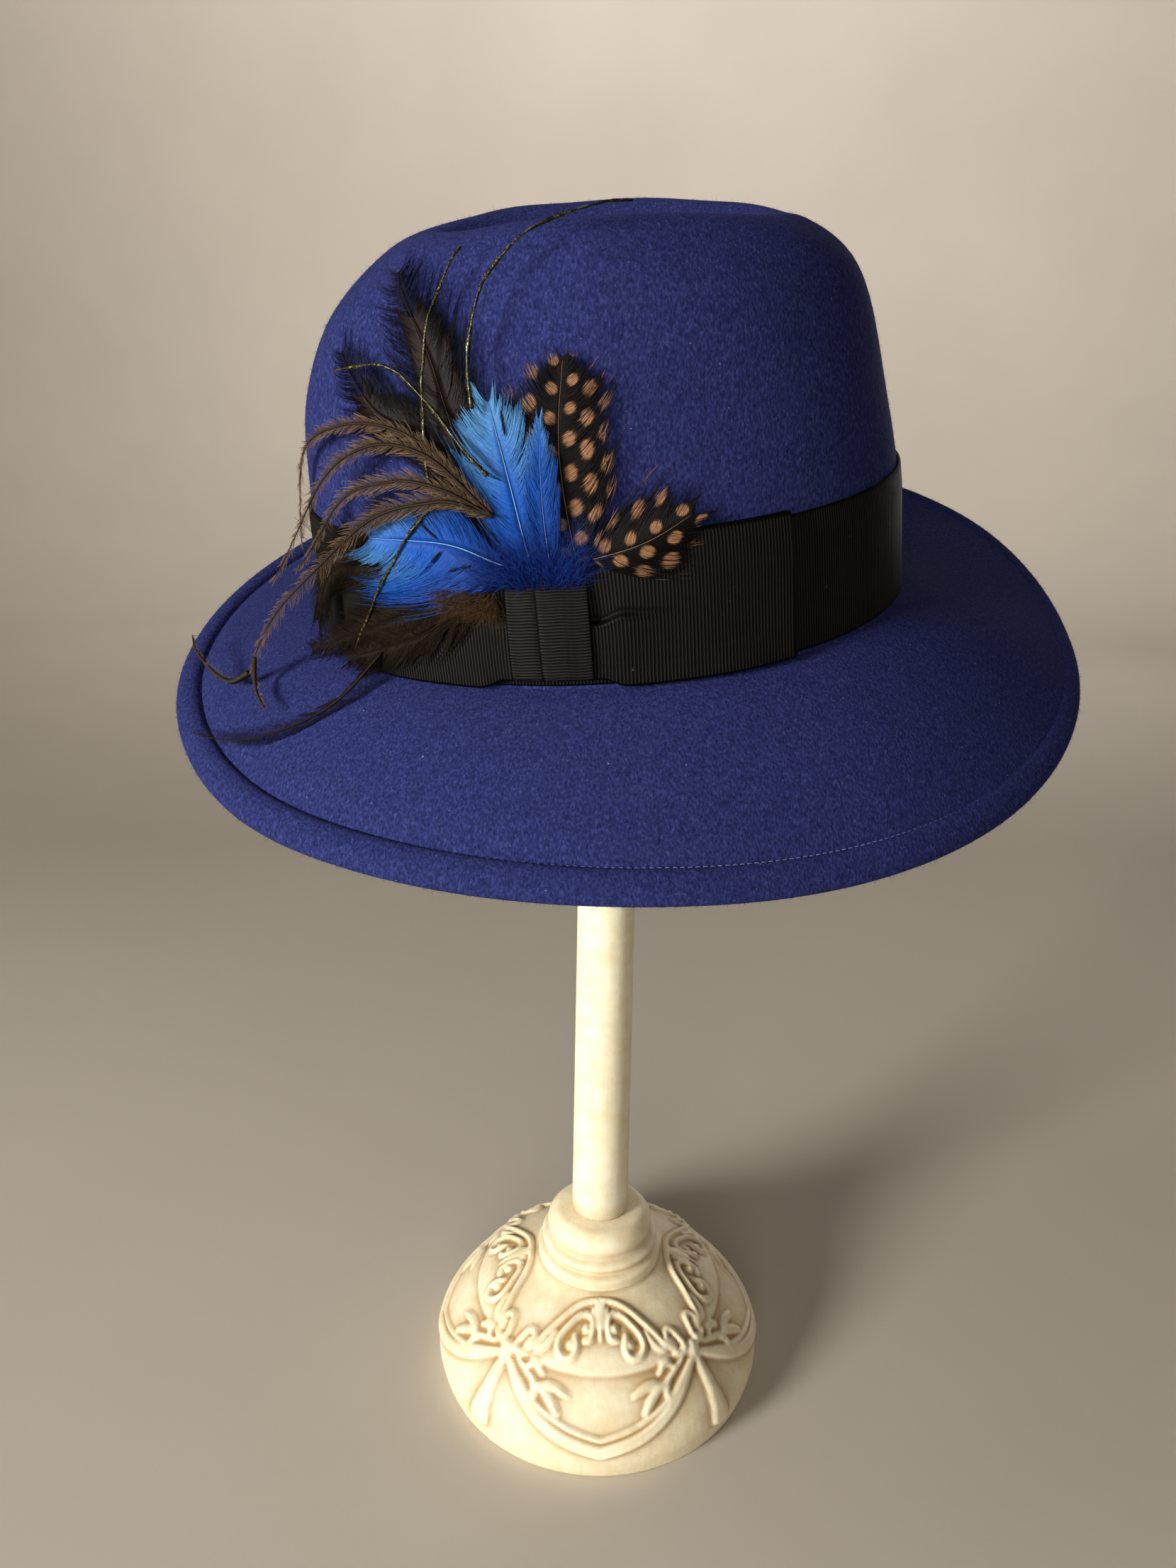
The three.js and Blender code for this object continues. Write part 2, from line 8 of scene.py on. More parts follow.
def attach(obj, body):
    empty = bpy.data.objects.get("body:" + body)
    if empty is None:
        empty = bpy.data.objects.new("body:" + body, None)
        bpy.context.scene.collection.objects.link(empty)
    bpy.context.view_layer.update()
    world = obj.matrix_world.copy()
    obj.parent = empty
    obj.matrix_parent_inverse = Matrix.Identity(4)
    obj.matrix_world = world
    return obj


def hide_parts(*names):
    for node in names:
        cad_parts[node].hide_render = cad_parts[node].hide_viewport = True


# Felt fedora with a ribbon bow and a spray of feathers, on a cast hat stand.
# Shapes are worked out in millimetres, the hat's in its own frame: +X is its front, -Y the side with the bow.

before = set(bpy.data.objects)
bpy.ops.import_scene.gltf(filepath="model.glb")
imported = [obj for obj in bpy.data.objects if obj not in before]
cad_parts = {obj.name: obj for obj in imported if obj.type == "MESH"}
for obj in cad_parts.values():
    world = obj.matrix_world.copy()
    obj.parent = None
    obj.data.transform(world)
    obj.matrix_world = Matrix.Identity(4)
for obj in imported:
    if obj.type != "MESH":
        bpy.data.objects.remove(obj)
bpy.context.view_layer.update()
rng = np.random.default_rng(11)

MM = 0.001
UP = np.array([0.0, 0.0, 1.0])

# Wall thickness and the clearance between pieces
FELT = 2.3
WELT = 4.4
RIBBON = 0.8
GAP = 0.3

# How the hat sits on the stand
HAT_PLACE = np.array([-2.0, 0.0, 357.1])
HAT_TILT = 8.6
HAT_LEAN = -5.1

# Crown sections from the brim's break to the middle of the dent: reach from the axis and height at the front,
# side and back, and the share by which the front half narrows
CROWN = np.array([
    (104.5, 85, 102, 0, 0, 0, 0),
    (103.5, 83.5, 101.5, 22, 22, 22, 0),
    (102, 81, 100.5, 44, 44, 44, 0),
    (94.5, 77, 96.5, 80, 80, 76, 0.03),
    (86.5, 71, 85, 106.5, 108, 100.5, 0.1),
    (73, 60, 65.5, 118.5, 124, 117.5, 0.18),
    (62, 48, 50, 121, 127.5, 124.5, 0.26),
    (46, 34, 38, 115.5, 121, 119.5, 0.32),
    (23, 17, 20, 107, 109, 109, 0.3),
    (0, 0, 0, 105, 105, 105, 0),
])
FRONT, SIDE, BACK, FRONT_Z, SIDE_Z, BACK_Z, PINCH = CROWN.T
BAND_TOP = 2.0
DENT_SLOPE = 7.0
DENT_FLOOR = 8.7
CROWN_END = 8.9
# Height of one section of the crown where the band lies
PER_LEVEL = 22.0

# Fall of the brim's edge below its break, every 30 degrees anticlockwise from the front
BRIM_FALL = (35.5, 6.7, -10, -14, -8.9, 2.8, 19, 32.8, 34.7, 39.9, 49, 49.3)
BRIM_LENGTH = 71.5
BRIM_FRONT_EXTRA = 6.9
BRIM_EARLY_FALL = 0.35
BRIM_CURL = 1.8

# Steps over which the lie of a surface is taken: radians round it and sections up it
ROUND_STEP = 0.01
PLACE_STEP = 0.03


def unit(v):
    return v / np.maximum(np.linalg.norm(v, axis=-1, keepdims=True), 1e-12)


def smoothstep(x):
    x = np.clip(x, 0, 1)
    return x * x * (3 - 2 * x)


def smooth(values, t):
    """Smooth curve through evenly spaced values, carried on straight before the first."""
    values = np.asarray(values, float)
    slope = np.gradient(values)
    t = np.asarray(t, float)
    i = np.clip(np.floor(t), 0, len(values) - 2).astype(int)
    u = t - i
    bend = u * u * (3 - 2 * u)
    inside = values[i] + (values[i + 1] - values[i]) * bend
    inside = inside + u * (1 - u) * ((1 - u) * slope[i] - u * slope[i + 1])
    return np.where(t < 0, values[0] + slope[0] * t, inside)


def smooth_around(values, angle):
    """The same curve round a closed run of values."""
    wrapped = [values[-1], *values, values[0], values[1]]
    return smooth(wrapped, 1 + angle / (2 * np.pi) % 1 * len(values))


def spline(points, t):
    """Smooth curve through points, t from 0 to 1."""
    points = np.asarray(points, float)
    return np.stack([smooth(column, t * (len(points) - 1)) for column in points.T], -1)


def bell(x):
    return np.exp(-x ** 2)


def full_turn(count):
    """Even angles all round."""
    return np.linspace(0, 2 * np.pi, count, endpoint=False)


def turned_point(angle, radius, z):
    """Points of a turned body by angle, radius and height."""
    return np.stack(np.broadcast_arrays(np.cos(angle) * radius, np.sin(angle) * radius, z), -1)


def crown_point(angle, level):
    """Outer face of the crown at an angle and a level counted in sections."""
    angle, level = np.broadcast_arrays(angle, level)
    c, s = np.cos(angle), np.sin(angle)
    reach = np.where(c > 0, smooth(FRONT, level), smooth(BACK, level))
    end_z = np.where(c > 0, smooth(FRONT_Z, level), smooth(BACK_Z, level))
    side_z = smooth(SIDE_Z, level)
    y = smooth(SIDE, level) * s * (1 - smooth(PINCH, level) * np.maximum(c, 0))
    return np.stack([reach * c, y, side_z + (end_z - side_z) * c * c], -1)


def brim_point(angle, out):
    """Upper face of the brim, out from the break (0) to the edge (1)."""
    angle, out = np.broadcast_arrays(angle, out)
    fall = smooth_around(BRIM_FALL, angle)
    length = BRIM_LENGTH + BRIM_FRONT_EXTRA * np.cos(angle)
    width = np.sqrt(length ** 2 - fall ** 2)
    away = unit(np.stack([np.cos(angle) / FRONT[0], np.sin(angle) / SIDE[0], 0 * angle], -1))
    sink = fall * (BRIM_EARLY_FALL * out + (1 - BRIM_EARLY_FALL) * out ** BRIM_CURL)
    return crown_point(angle, 0 * out) + away * (width * out)[..., None] - UP * sink[..., None]


def felt_face(angle, place):
    """The felt's upper face as one run: crown levels above 0, brim shares as numbers below 0."""
    on_brim = np.asarray(place) < 0
    brim = brim_point(angle, np.maximum(-place, 0))
    crown = crown_point(angle, np.maximum(place, 0))
    return np.where(on_brim[..., None], brim, crown)


def off_face(face, angle, place, lift):
    """Points off a face given by two numbers, along its outward normal."""
    angle, place, lift = np.broadcast_arrays(angle, place, lift)
    here = face(angle, place)
    beside = face(angle + ROUND_STEP, place) - face(angle - ROUND_STEP, place)
    up = unit(face(angle, place + PLACE_STEP) - here) + unit(here - face(angle, place - PLACE_STEP))
    return here + unit(np.cross(beside, up)) * lift[..., None]


def lift_off(face, angle, place, lift):
    """The same points, and the outward direction there."""
    points = off_face(face, angle, place, lift)
    return points, unit(off_face(face, angle, place, lift + 1) - points)


def wrap(degrees, level, lift):
    """Points off the crown by angle in degrees, level and lift."""
    return off_face(crown_point, np.radians(degrees), level, lift)


def wrap_out(degrees, level, lift):
    """The same points, and the outward direction there."""
    return lift_off(crown_point, np.radians(degrees), level, lift)


def turn(axis, degrees):
    return np.array(Matrix.Rotation(math.radians(degrees), 3, axis))


HAT_TURN = turn("Y", HAT_LEAN) @ turn("X", HAT_TILT)


def from_hat(points):
    """Points of the hat's own frame in the shared frame."""
    return points @ HAT_TURN.T + HAT_PLACE


# Meshes


def outward(points, quads, tris):
    """A closed body with its faces turned outward."""
    corners = np.concatenate([quads[:, :3], quads[:, [0, 2, 3]], tris])
    a, b, c = (points[corners[:, k]] for k in range(3))
    if np.einsum("ij,ij->", a, np.cross(b, c)) < 0:
        return points, quads[:, ::-1], tris[:, ::-1]
    return points, quads, tris


def quads_over(index):
    """Quads between successive rings of point numbers (..., rings, points)."""
    beside = np.roll(index, -1, -1)
    here, ahead = np.s_[..., :-1, :], np.s_[..., 1:, :]
    return np.stack([index[here], beside[here], beside[ahead], index[ahead]], -1).reshape(-1, 4)


def skin(rings, endless=False):
    """Closed surface over a run of rings (runs, points, 3): joined end to end, or capped at both ends."""
    runs, count = rings.shape[:2]
    points = rings.reshape(-1, 3)
    index = np.arange(runs * count).reshape(runs, count)
    if endless:
        return outward(points, quads_over(np.vstack([index, index[:1]])), np.zeros((0, 3), int))
    beside = np.roll(index, -1, 1)
    middles = rings[[0, -1]].mean(1)
    first, last = len(points), len(points) + 1
    caps = [
        np.stack([np.full(count, first), beside[0], index[0]], -1),
        np.stack([np.full(count, last), index[-1], beside[-1]], -1),
    ]
    return outward(np.concatenate([points, middles]), quads_over(index), np.concatenate(caps))


def capped(values):
    """Values of the points of a capped skin, none at the middles of its caps."""
    return np.concatenate([np.ravel(values), [0, 0]])


def strands(paths, normals, half, thick):
    """Closed three-sided strips along paths (count, steps, 3), with their half widths and thickness."""
    count, steps = paths.shape[:2]
    along = unit(np.gradient(paths, axis=1))
    side = unit(np.cross(along, normals))
    up = np.cross(side, along)
    half = np.broadcast_to(half, (count, steps))[..., None]
    thick = np.broadcast_to(thick, (count, steps))[..., None]
    rings = np.stack([paths + side * half, paths - side * half, paths + up * thick], 2)
    index = np.arange(count * steps * 3).reshape(count, steps, 3)
    caps = np.concatenate([index[:, 0, ::-1], index[:, -1]])
    return rings.reshape(-1, 3), quads_over(index), caps


class Heap:
    """Several closed bodies gathered for one mesh, each point with its named values."""

    def __init__(self, *names):
        self.bodies = []
        self.values = {name: [] for name in names}
        self.size = 0

    def add(self, body, **values):
        points, quads, tris = body
        self.bodies.append((points, quads + self.size, tris + self.size))
        for name, gathered in self.values.items():
            gathered.append(np.broadcast_to(values.get(name, 0.0), len(points)))
        self.size += len(points)

    def piece(self, name, material, slot, nodes=()):
        body = [np.concatenate(part) for part in zip(*self.bodies)]
        values = {key: np.concatenate(gathered) for key, gathered in self.values.items()}
        return piece(name, body, material, slot, nodes, **values)


def scene_object(name, data):
    made = bpy.data.objects.new(name, data)
    bpy.context.scene.collection.objects.link(made)
    return made


def mesh_object(name, points, faces, material):
    """Smooth object of one material, from points in metres."""
    mesh = bpy.data.meshes.new(name)
    mesh.from_pydata(points.tolist(), [], faces)
    mesh.shade_smooth()
    mesh.materials.append(material)
    return scene_object(name, mesh)


def piece(name, body, material, slot, nodes=(), in_hat=True, **values):
    """Blender object from a body in millimetres, with its values per point, riding on the one CAD body."""
    points, quads, tris = body
    placed = (from_hat(points) if in_hat else points) * MM
    obj = mesh_object(name, placed, quads.tolist() + tris.tolist(), material)
    for key, value in values.items():
        layer = obj.data.attributes.new(key, "FLOAT", "POINT")
        layer.data.foreach_set("value", np.ascontiguousarray(value, np.float32))
    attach(obj, "root")
    if nodes:
        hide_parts(*nodes)
    return obj


# Materials

# Sockets of the colour mix node: factor and both colours, and the mixed colour
MIX_INPUTS = (0, 6, 7)
MIX_OUTPUT = 2


def srgb(red, green, blue):
    """Display colour, 0 to 255, as the linear colour of a shader socket."""
    shares = [c / 255 for c in (red, green, blue)]
    return (*[s / 12.92 if s <= 0.04045 else ((s + 0.055) / 1.055) ** 2.4 for s in shares], 1.0)


class Look:
    """A node material that is built up from textures of the object's own coordinates."""

    def __init__(self, name, **settings):
        self.material = bpy.data.materials.new(name)
        self.material.use_nodes = True
        self.tree = self.material.node_tree
        self.shader = self.tree.nodes["Principled BSDF"]
        for socket, value in settings.items():
            self.shader.inputs[socket.replace("_", " ").title().replace("Ior", "IOR")].default_value = value
        self.place = self.node("ShaderNodeTexCoord").outputs["Object"]

    def feed(self, socket, value):
        """Links an output to a socket, or sets a plain value on it."""
        if isinstance(value, bpy.types.NodeSocket):
            self.tree.links.new(value, socket)
        else:
            socket.default_value = value

    def node(self, kind, **inputs):
        made = self.tree.nodes.new(kind)
        for name, value in inputs.items():
            self.feed(made.inputs[name], value)
        return made

    def noise(self, size, detail=3.0, stretch=None):
        """Noise from 0 to 1 with features of about that size in millimetres."""
        place = self.place
        if stretch:
            place = self.node("ShaderNodeMapping", Vector=place, Scale=stretch).outputs[0]
        settings = dict(Scale=1 / (size * MM), Detail=detail, Roughness=0.6)
        return self.node("ShaderNodeTexNoise", Vector=place, **settings).outputs["Fac"]

    def value(self, name):
        """Value that the mesh holds at each point."""
        made = self.node("ShaderNodeAttribute")
        made.attribute_name = name
        return made.outputs["Fac"]

    def ramp(self, factor, *stops):
        """Colour or grey along a factor, from stops of place and colour."""
        made = self.node("ShaderNodeValToRGB", Fac=factor)
        band = made.color_ramp
        while len(band.elements) < len(stops):
            band.elements.new(0.5)
        for element, (place, colour) in zip(band.elements, stops):
            element.position = place
            element.color = colour if isinstance(colour, tuple) else (colour, colour, colour, 1)
        return made.outputs["Color"]

    def mix(self, factor, a, b, kind="MIX"):
        made = self.node("ShaderNodeMix")
        made.data_type = "RGBA"
        made.blend_type = kind
        for socket, value in zip(MIX_INPUTS, (factor, a, b)):
            self.feed(made.inputs[socket], value)
        return made.outputs[MIX_OUTPUT]

    def times(self, a, b):
        return self.mix(1.0, a, b, "MULTIPLY")

    def to(self, socket, output):
        self.tree.links.new(output, self.shader.inputs[socket])

    def bump(self, depth, height, strength):
        """Bump of that depth in millimetres."""
        made = self.node("ShaderNodeBump", Height=height, Distance=depth * MM, Strength=strength)
        self.to("Normal", made.outputs[0])

    def done(self, colour, *bump):
        """The material, once its colour and its bump are set."""
        self.to("Base Color", colour)
        if bump:
            self.bump(*bump)
        return self.material


FELT_DEEP = srgb(26, 31, 71)
FELT_BLUE = srgb(41, 47, 98)
FELT_LIGHT = srgb(64, 71, 128)
FELT_FLECK = srgb(140, 148, 196)
FELT_SHEEN = srgb(110, 118, 200)


def felt_look(name, light):
    """Blue wool felt: fine grain, soft mottling and a few pale flecks, lightened by a gain that paints sheen
    on the nap.
    """
    look = Look(name, roughness=0.95, sheen_weight=0.06, sheen_roughness=0.4, sheen_tint=FELT_SHEEN,
                specular_ior_level=0.05)
    grain = look.noise(0.7, 4.0, (1.0, 0.7, 0.5))
    colour = look.ramp(grain, (0.3, FELT_DEEP), (0.52, FELT_BLUE), (0.75, FELT_LIGHT))
    # The gain is 1 for the shell and higher for the nap, where it paints sheen
    mottle = look.ramp(look.noise(1.9), (0.32, 0.78 * light), (0.5, 0.97 * light), (0.7, 1.13 * light))
    colour = look.times(colour, mottle)
    flecks = look.ramp(look.noise(1.6, 1.0, (1.0, 1.0, 2.2)), (0.79, 0.0), (0.815, 0.8))
    colour = look.mix(flecks, colour, FELT_FLECK)
    return look.done(colour, 0.5, look.mix(0.5, grain, look.noise(1.7)), 0.9)


def thread_look():
    """Sewing thread a little lighter than the felt."""
    look = Look("thread_blue", roughness=0.7, sheen_weight=0.2)
    return look.done(look.ramp(look.noise(0.4), (0.3, srgb(52, 57, 118)), (0.7, srgb(92, 98, 168))))


def ribbon_look():
    """Black grosgrain with painted highlights on its rib tops, painted shade in its grooves, slight wear and
    a little lint.
    """
    look = Look("grosgrain_black", roughness=0.5, specular_ior_level=0.1)
    # Painted highlight and shade: the rib value turns the grooves black and the rib tops lighter
    rib_highlights = look.ramp(look.value("rib"), (0.2, srgb(1, 1, 1)), (0.76, srgb(4, 3, 3)), (0.96, srgb(38, 36, 34)))
    wear = look.ramp(look.noise(14.0), (0.3, 0.8), (0.75, 1.1))
    lint = look.ramp(look.noise(1.4, 1.0), (0.8, 0.0), (0.83, 0.4))
    return look.done(look.mix(lint, look.times(rib_highlights, wear), srgb(120, 112, 100)), 0.12, look.noise(0.35), 0.6)


def feather_look(name, tones, quill, spot=None, rough=0.5, gloss=0.2):
    """Barbs in tones from their root to their tip, a quill, and spots where they are asked for."""
    look = Look(name, roughness=rough, specular_ior_level=gloss)
    colour = look.ramp(look.value("shade"), *[(k / 2, srgb(*tone)) for k, tone in enumerate(tones)])
    streak = look.ramp(look.noise(0.6), (0.25, 0.72), (0.75, 1.22))
    colour = look.times(colour, streak)
    if spot:
        light = srgb(*spot)
        dark = (*[0.45 * c for c in light[:3]], 1.0)
        colour = look.mix(look.value("spot"), colour, look.mix(look.noise(0.5, 2.0), light, dark))
    return look.done(look.mix(look.value("quill"), colour, srgb(*quill)), 0.05, look.noise(0.3, 2.0), 0.5)


def herl_look():
    """Shiny black strand with gold and green glints."""
    look = Look("herl_gold_green", roughness=0.3, metallic=0.3, specular_ior_level=0.6)
    glint = look.noise(0.4)
    colour = look.ramp(glint, (0.44, srgb(14, 12, 7)), (0.56, srgb(58, 58, 18)), (0.65, srgb(186, 170, 88)),
                       (0.74, srgb(34, 62, 24)))
    return look.done(look.mix(look.value("shade"), colour, srgb(15, 12, 9)), 0.1, glint, 0.6)


def cream_look(name, low, high, wash_gain):
    """Cream paint with faint streaks and yellowed patches, and a brown wash in its recesses that also paints
    shade under the collar.
    """
    look = Look(name, specular_ior_level=0.42)
    tone = look.ramp(look.noise(16.0, 4.0), (0.3, low), (0.7, high))
    streak = look.ramp(look.noise(3.0, 4.0, (1.0, 1.0, 0.08)), (0.35, 0.93), (0.65, 1.03))
    patch = look.ramp(look.noise(7.0, 5.0), (0.42, 0.0), (0.75, 0.4))
    tone = look.mix(patch, look.times(tone, streak), srgb(224, 196, 140))
    # The wash value also carries the painted shade under the collar
    recess = look.ramp(look.value("wash"), (0.0, 0.0), (1.0, wash_gain))
    look.to("Roughness", look.ramp(look.noise(4.0), (0.3, 0.4), (0.7, 0.6)))
    return look.done(look.mix(recess, tone, srgb(166, 124, 64)), 0.25, look.noise(1.8, 5.0), 0.5)


# Felt body

# Sewn line of the rolled edge as a share of the brim, its groove, and the hollow beside it
STITCH_LINE = 0.882
STITCH_GROOVE = 0.5
GROOVE_LEAST = 0.3
GROOVE_REACH = 0.008
HOLLOW_SHARE = 0.7
HOLLOW_REACH = 0.075
# Swell of the rolled edge above the brim, every 30 degrees anticlockwise from the front
EDGE_SWELL = (0.25, 0.3, 0.5, 0.8, 1.0, 1.3, 1.7, 1.9, 1.7, 1.2, 0.8, 0.4)
EDGE_MEAN = 0.9
EDGE_WIDENS = 0.036
EDGE_REACH = 1.006
# Slow unevenness of hand-blocked felt: turns round the hat and up it and a phase for each wave
WAVES = ((3, 1.7, 0), (5, -2.3, 1), (8, 3.1, 2))
WAVE_HEIGHT = -0.22
# Where the waves set in on the crown and on the brim, and over what reach
WAVES_CROWN = (2.3, 0.8)
WAVES_BRIM = (0.15, 0.3)
# Rings of the mesh: shares of the way to the sewn line, shares of the brim underneath, and counts
OUT_SHARES = np.concatenate([np.linspace(0.017, 0.8, 20), np.linspace(0.815, 1, 22)])[:, None]
UNDER = np.concatenate([np.linspace(0.922, 0.9, 3), [0.894, 0.876], np.linspace(0.86, 0.015, 14)])[:, None]
WELT_FROM = 0.885
ROLL_RISE = np.linspace(0, 1, 9)[1:-1, None] ** 1.6
EDGE_TURN = np.linspace(np.pi / 2, -np.pi / 2, 15)[:, None]
CROWN_RINGS, LINING_RINGS = 64, 22
AROUND = 224


def waves(angle, place):
    """Lift of the felt by its unevenness, none where the band lies."""
    on_crown = smoothstep((place - WAVES_CROWN[0]) / WAVES_CROWN[1])
    on_brim = smoothstep((-place - WAVES_BRIM[0]) / WAVES_BRIM[1])
    wave = sum(np.sin(turns * angle + climb * place + phase) for turns, climb, phase in WAVES)
    return WAVE_HEIGHT * np.where(place > 0, on_crown, on_brim) * wave


def stitch_line(swollen):
    """Share of the brim at which the rolled edge is sewn down: the roll is wider where it swells more."""
    return STITCH_LINE - EDGE_WIDENS * (swollen - EDGE_MEAN)


def stitch_depth(swollen):
    """Depth of the hollow, and of the groove in it."""
    return HOLLOW_SHARE * swollen, STITCH_GROOVE * np.clip(swollen, GROOVE_LEAST, 1)


def felt_rings(angle):
    """Rings over the outside, round the edge, under the brim and up the inside: place and depth of each."""
    swollen = smooth_around(EDGE_SWELL, angle)
    line = stitch_line(swollen)
    hollow, sewn = stitch_depth(swollen)
    middle = (line + EDGE_REACH) / 2
    outs = OUT_SHARES * line
    groove = hollow * bell((outs - line) / HOLLOW_REACH) + sewn * bell((outs - line) / GROOVE_REACH)
    inner_outs = line + (middle - line) * ROLL_RISE
    inner_depths = hollow + sewn - (hollow + sewn + swollen) * np.sqrt(1 - (1 - ROLL_RISE) ** 2)
    edge_outs = middle + (EDGE_REACH - middle) * np.cos(EDGE_TURN)
    edge_depths = (WELT - swollen) / 2 - (WELT + swollen) / 2 * np.sin(EDGE_TURN)
    crown = np.linspace(CROWN_END, 0, CROWN_RINGS)[:, None]
    lining = np.linspace(0, CROWN_END, LINING_RINGS)[:, None]
    shown = [(crown, 0), (-outs, groove), (-inner_outs, inner_depths), (-edge_outs, edge_depths)]
    hidden = [(-UNDER, np.where(UNDER > WELT_FROM, WELT, FELT)), (lining, FELT)]
    places = np.concatenate([place + 0 * angle for place, _ in shown + hidden])
    depths = np.concatenate([depth + 0 * place + 0 * angle for place, depth in shown + hidden])
    return places, depths, sum(len(place) for place, _ in shown)


angles = full_turn(AROUND)
places, depths, shown_rings = felt_rings(angles)
felt_grid = off_face(felt_face, angles, places, waves(angles, places) - depths)
piece("felt_shell", skin(felt_grid), felt_look("felt_royal", 1.0), "royal_felt", ["felt_body"])

# Nap: counts of fibres, their length, the share that is twice as long, how steeply they stand and how thick
# they are
NAP_CROWN, NAP_BRIM = 13000, 19000
NAP_LENGTH = (0.6, 1.5)
NAP_LONG_SHARE = 0.18
NAP_LIFT = (0.2, 1.1)
NAP_RADIUS = 0.05
NAP_DEPTH = 0.075
NAP_ROOT = 0.08
# How much lighter the nap is drawn than the felt: painted sheen of its fibres catching the light
NAP_SHEEN_GAIN = 1.25
# Brim shares at which the nap starts and at which it gets denser
NAP_FROM, NAP_EDGE = 0.02, 0.95
NAP_EDGE_DENSITY = 7.0
SPIKE_FACES = np.array([(0, 1, 2), (1, 0, 3), (2, 1, 3), (0, 2, 3)])


def nap(grid, density, count):
    """Short wool fibres that stand off a grid of rings, each a slim closed spike."""
    a, d = grid[:-1], grid[1:]
    b, c = np.roll(a, -1, 1), np.roll(d, -1, 1)
    normal = np.cross(c - a, b - d)
    area = np.linalg.norm(normal, axis=-1).ravel()
    normal = unit(normal).reshape(-1, 3)
    area = area * np.repeat(density, grid.shape[1])
    chosen = rng.choice(area.size, count, p=area / area.sum())
    u, v = rng.random((2, count, 1))
    a, b, c, d = (corner.reshape(-1, 3)[chosen] for corner in (a, b, c, d))
    root = (a * (1 - u) + b * u) * (1 - v) + (d * (1 - u) + c * u) * v
    out = normal[chosen]
    lean = unit(np.cross(out, rng.normal(size=(count, 3))))
    direction = unit(out * rng.uniform(*NAP_LIFT, (count, 1)) + lean)
    length = rng.uniform(*NAP_LENGTH, (count, 1)) * np.where(rng.random((count, 1)) < NAP_LONG_SHARE, 2, 1)
    side = unit(np.cross(direction, out)) * NAP_RADIUS
    base = root - out * NAP_ROOT
    points = np.stack([base + side, base - side, base + out * NAP_DEPTH, root + direction * length], 1)
    first = np.arange(count)[:, None] * 4
    tris = np.concatenate([first + face for face in SPIKE_FACES])
    return points.reshape(-1, 3), np.zeros((0, 4), int), tris


nap_sheen_felt = felt_look("felt_nap_sheen", NAP_SHEEN_GAIN)
ring_places = places[:shown_rings, 0]
crown_rings = np.flatnonzero(ring_places > BAND_TOP)
crown_nap = nap(felt_grid[crown_rings], np.ones(len(crown_rings) - 1), NAP_CROWN)
piece("nap_crown", crown_nap, nap_sheen_felt, "royal_felt")
brim_rings = np.flatnonzero(ring_places < -NAP_FROM)
edge_fuzz = np.where(ring_places[brim_rings[1:]] < -NAP_EDGE, NAP_EDGE_DENSITY, 1.0)
piece("nap_brim", nap(felt_grid[brim_rings], edge_fuzz, NAP_BRIM), nap_sheen_felt, "royal_felt")

# Stitches in the groove of the welt: count, the part of the edge where they show, the share of each pitch
# that is thread, its arch and rest, and the depth at which they fade out at both ends
STITCHES = 96
STITCHED = (math.radians(236), math.radians(318))
STITCH_SHARE = 0.62
STITCH_ARCH = 0.5
STITCH_REST = 0.05
STITCH_FADE = 0.4
THREAD, THREAD_THICK = 0.17, 0.238


def stitches():
    steps = np.linspace(0, 1, 6)
    shares = (np.arange(STITCHES)[:, None] + STITCH_SHARE * steps) / STITCHES
    angle = STITCHED[0] + (STITCHED[1] - STITCHED[0]) * shares
    swollen = smooth_around(EDGE_SWELL, angle)
    sink = sum(stitch_depth(swollen)) + STITCH_FADE * np.abs(2 * shares - 1) ** 3
    lift = STITCH_ARCH * np.sin(np.pi * steps) - STITCH_REST - sink
    paths, out = lift_off(felt_face, angle, -stitch_line(swollen), lift)
    return strands(paths, out, THREAD, THREAD_THICK)


piece("brim_stitches", stitches(), thread_look(), "royal_felt")

# Ribbon band and bow

RIB_PITCH = 0.96
RIB_HEIGHT = 0.26
RIB_ROUND = 0.75
RIB_SAMPLES = 5
# Face of a ribbon in the grooves between its ribs, off its middle
RIB_FLOOR = RIBBON / 2 - 0.15
grosgrain = ribbon_look()


def ribs(run):
    """Rounded cords across a ribbon, 0 in the grooves and 1 on top, by millimetres along it."""
    return np.abs(np.sin(np.pi * run / RIB_PITCH)) ** RIB_ROUND


def hemmed(rows, thin):
    """Share of the ribs over the rows of a ribbon: full between its edges, thin on them."""
    return np.interp(rows, rows[[0, 1, -2, -1]], [thin, 1, 1, thin])


def run_of(*columns):
    """Length along a line given by its coordinates, as a column."""
    return np.concatenate([[0], np.cumsum(np.hypot(*(np.diff(column) for column in columns)))])[:, None]


def ribbon(name, node, body, rib):
    return piece("ribbon_" + name, body, grosgrain, "black_ribbon", [node], rib=rib)


BAND_RADIUS = 93
BAND_FLOOR = 0.7
BAND_EDGE = 0.5
BAND_LEVELS = np.concatenate([
    [0.05, 0.08], np.linspace(0.35, BAND_TOP - 0.3, 4), [BAND_TOP - 0.03, BAND_TOP],
])
BAND_INNER_LEVELS = BAND_LEVELS[[-1, 3, 0]]


def band_ribbon():
    """Endless ribbon round the crown, plain inside."""
    count = round(2 * np.pi * BAND_RADIUS / RIB_PITCH)
    around = full_turn(count * RIB_SAMPLES)[:, None]
    rib = ribs(around / (2 * np.pi) * count * RIB_PITCH) * hemmed(BAND_LEVELS, BAND_EDGE)
    outer = off_face(crown_point, around, BAND_LEVELS, GAP + BAND_FLOOR + RIB_HEIGHT * rib)
    inner = off_face(crown_point, around, BAND_INNER_LEVELS, GAP)
    values = np.pad(rib, ((0, 0), (0, inner.shape[1])))
    return skin(np.concatenate([outer, inner], 1), True), values.ravel()


band = ribbon("band", "hat_band", *band_ribbon())

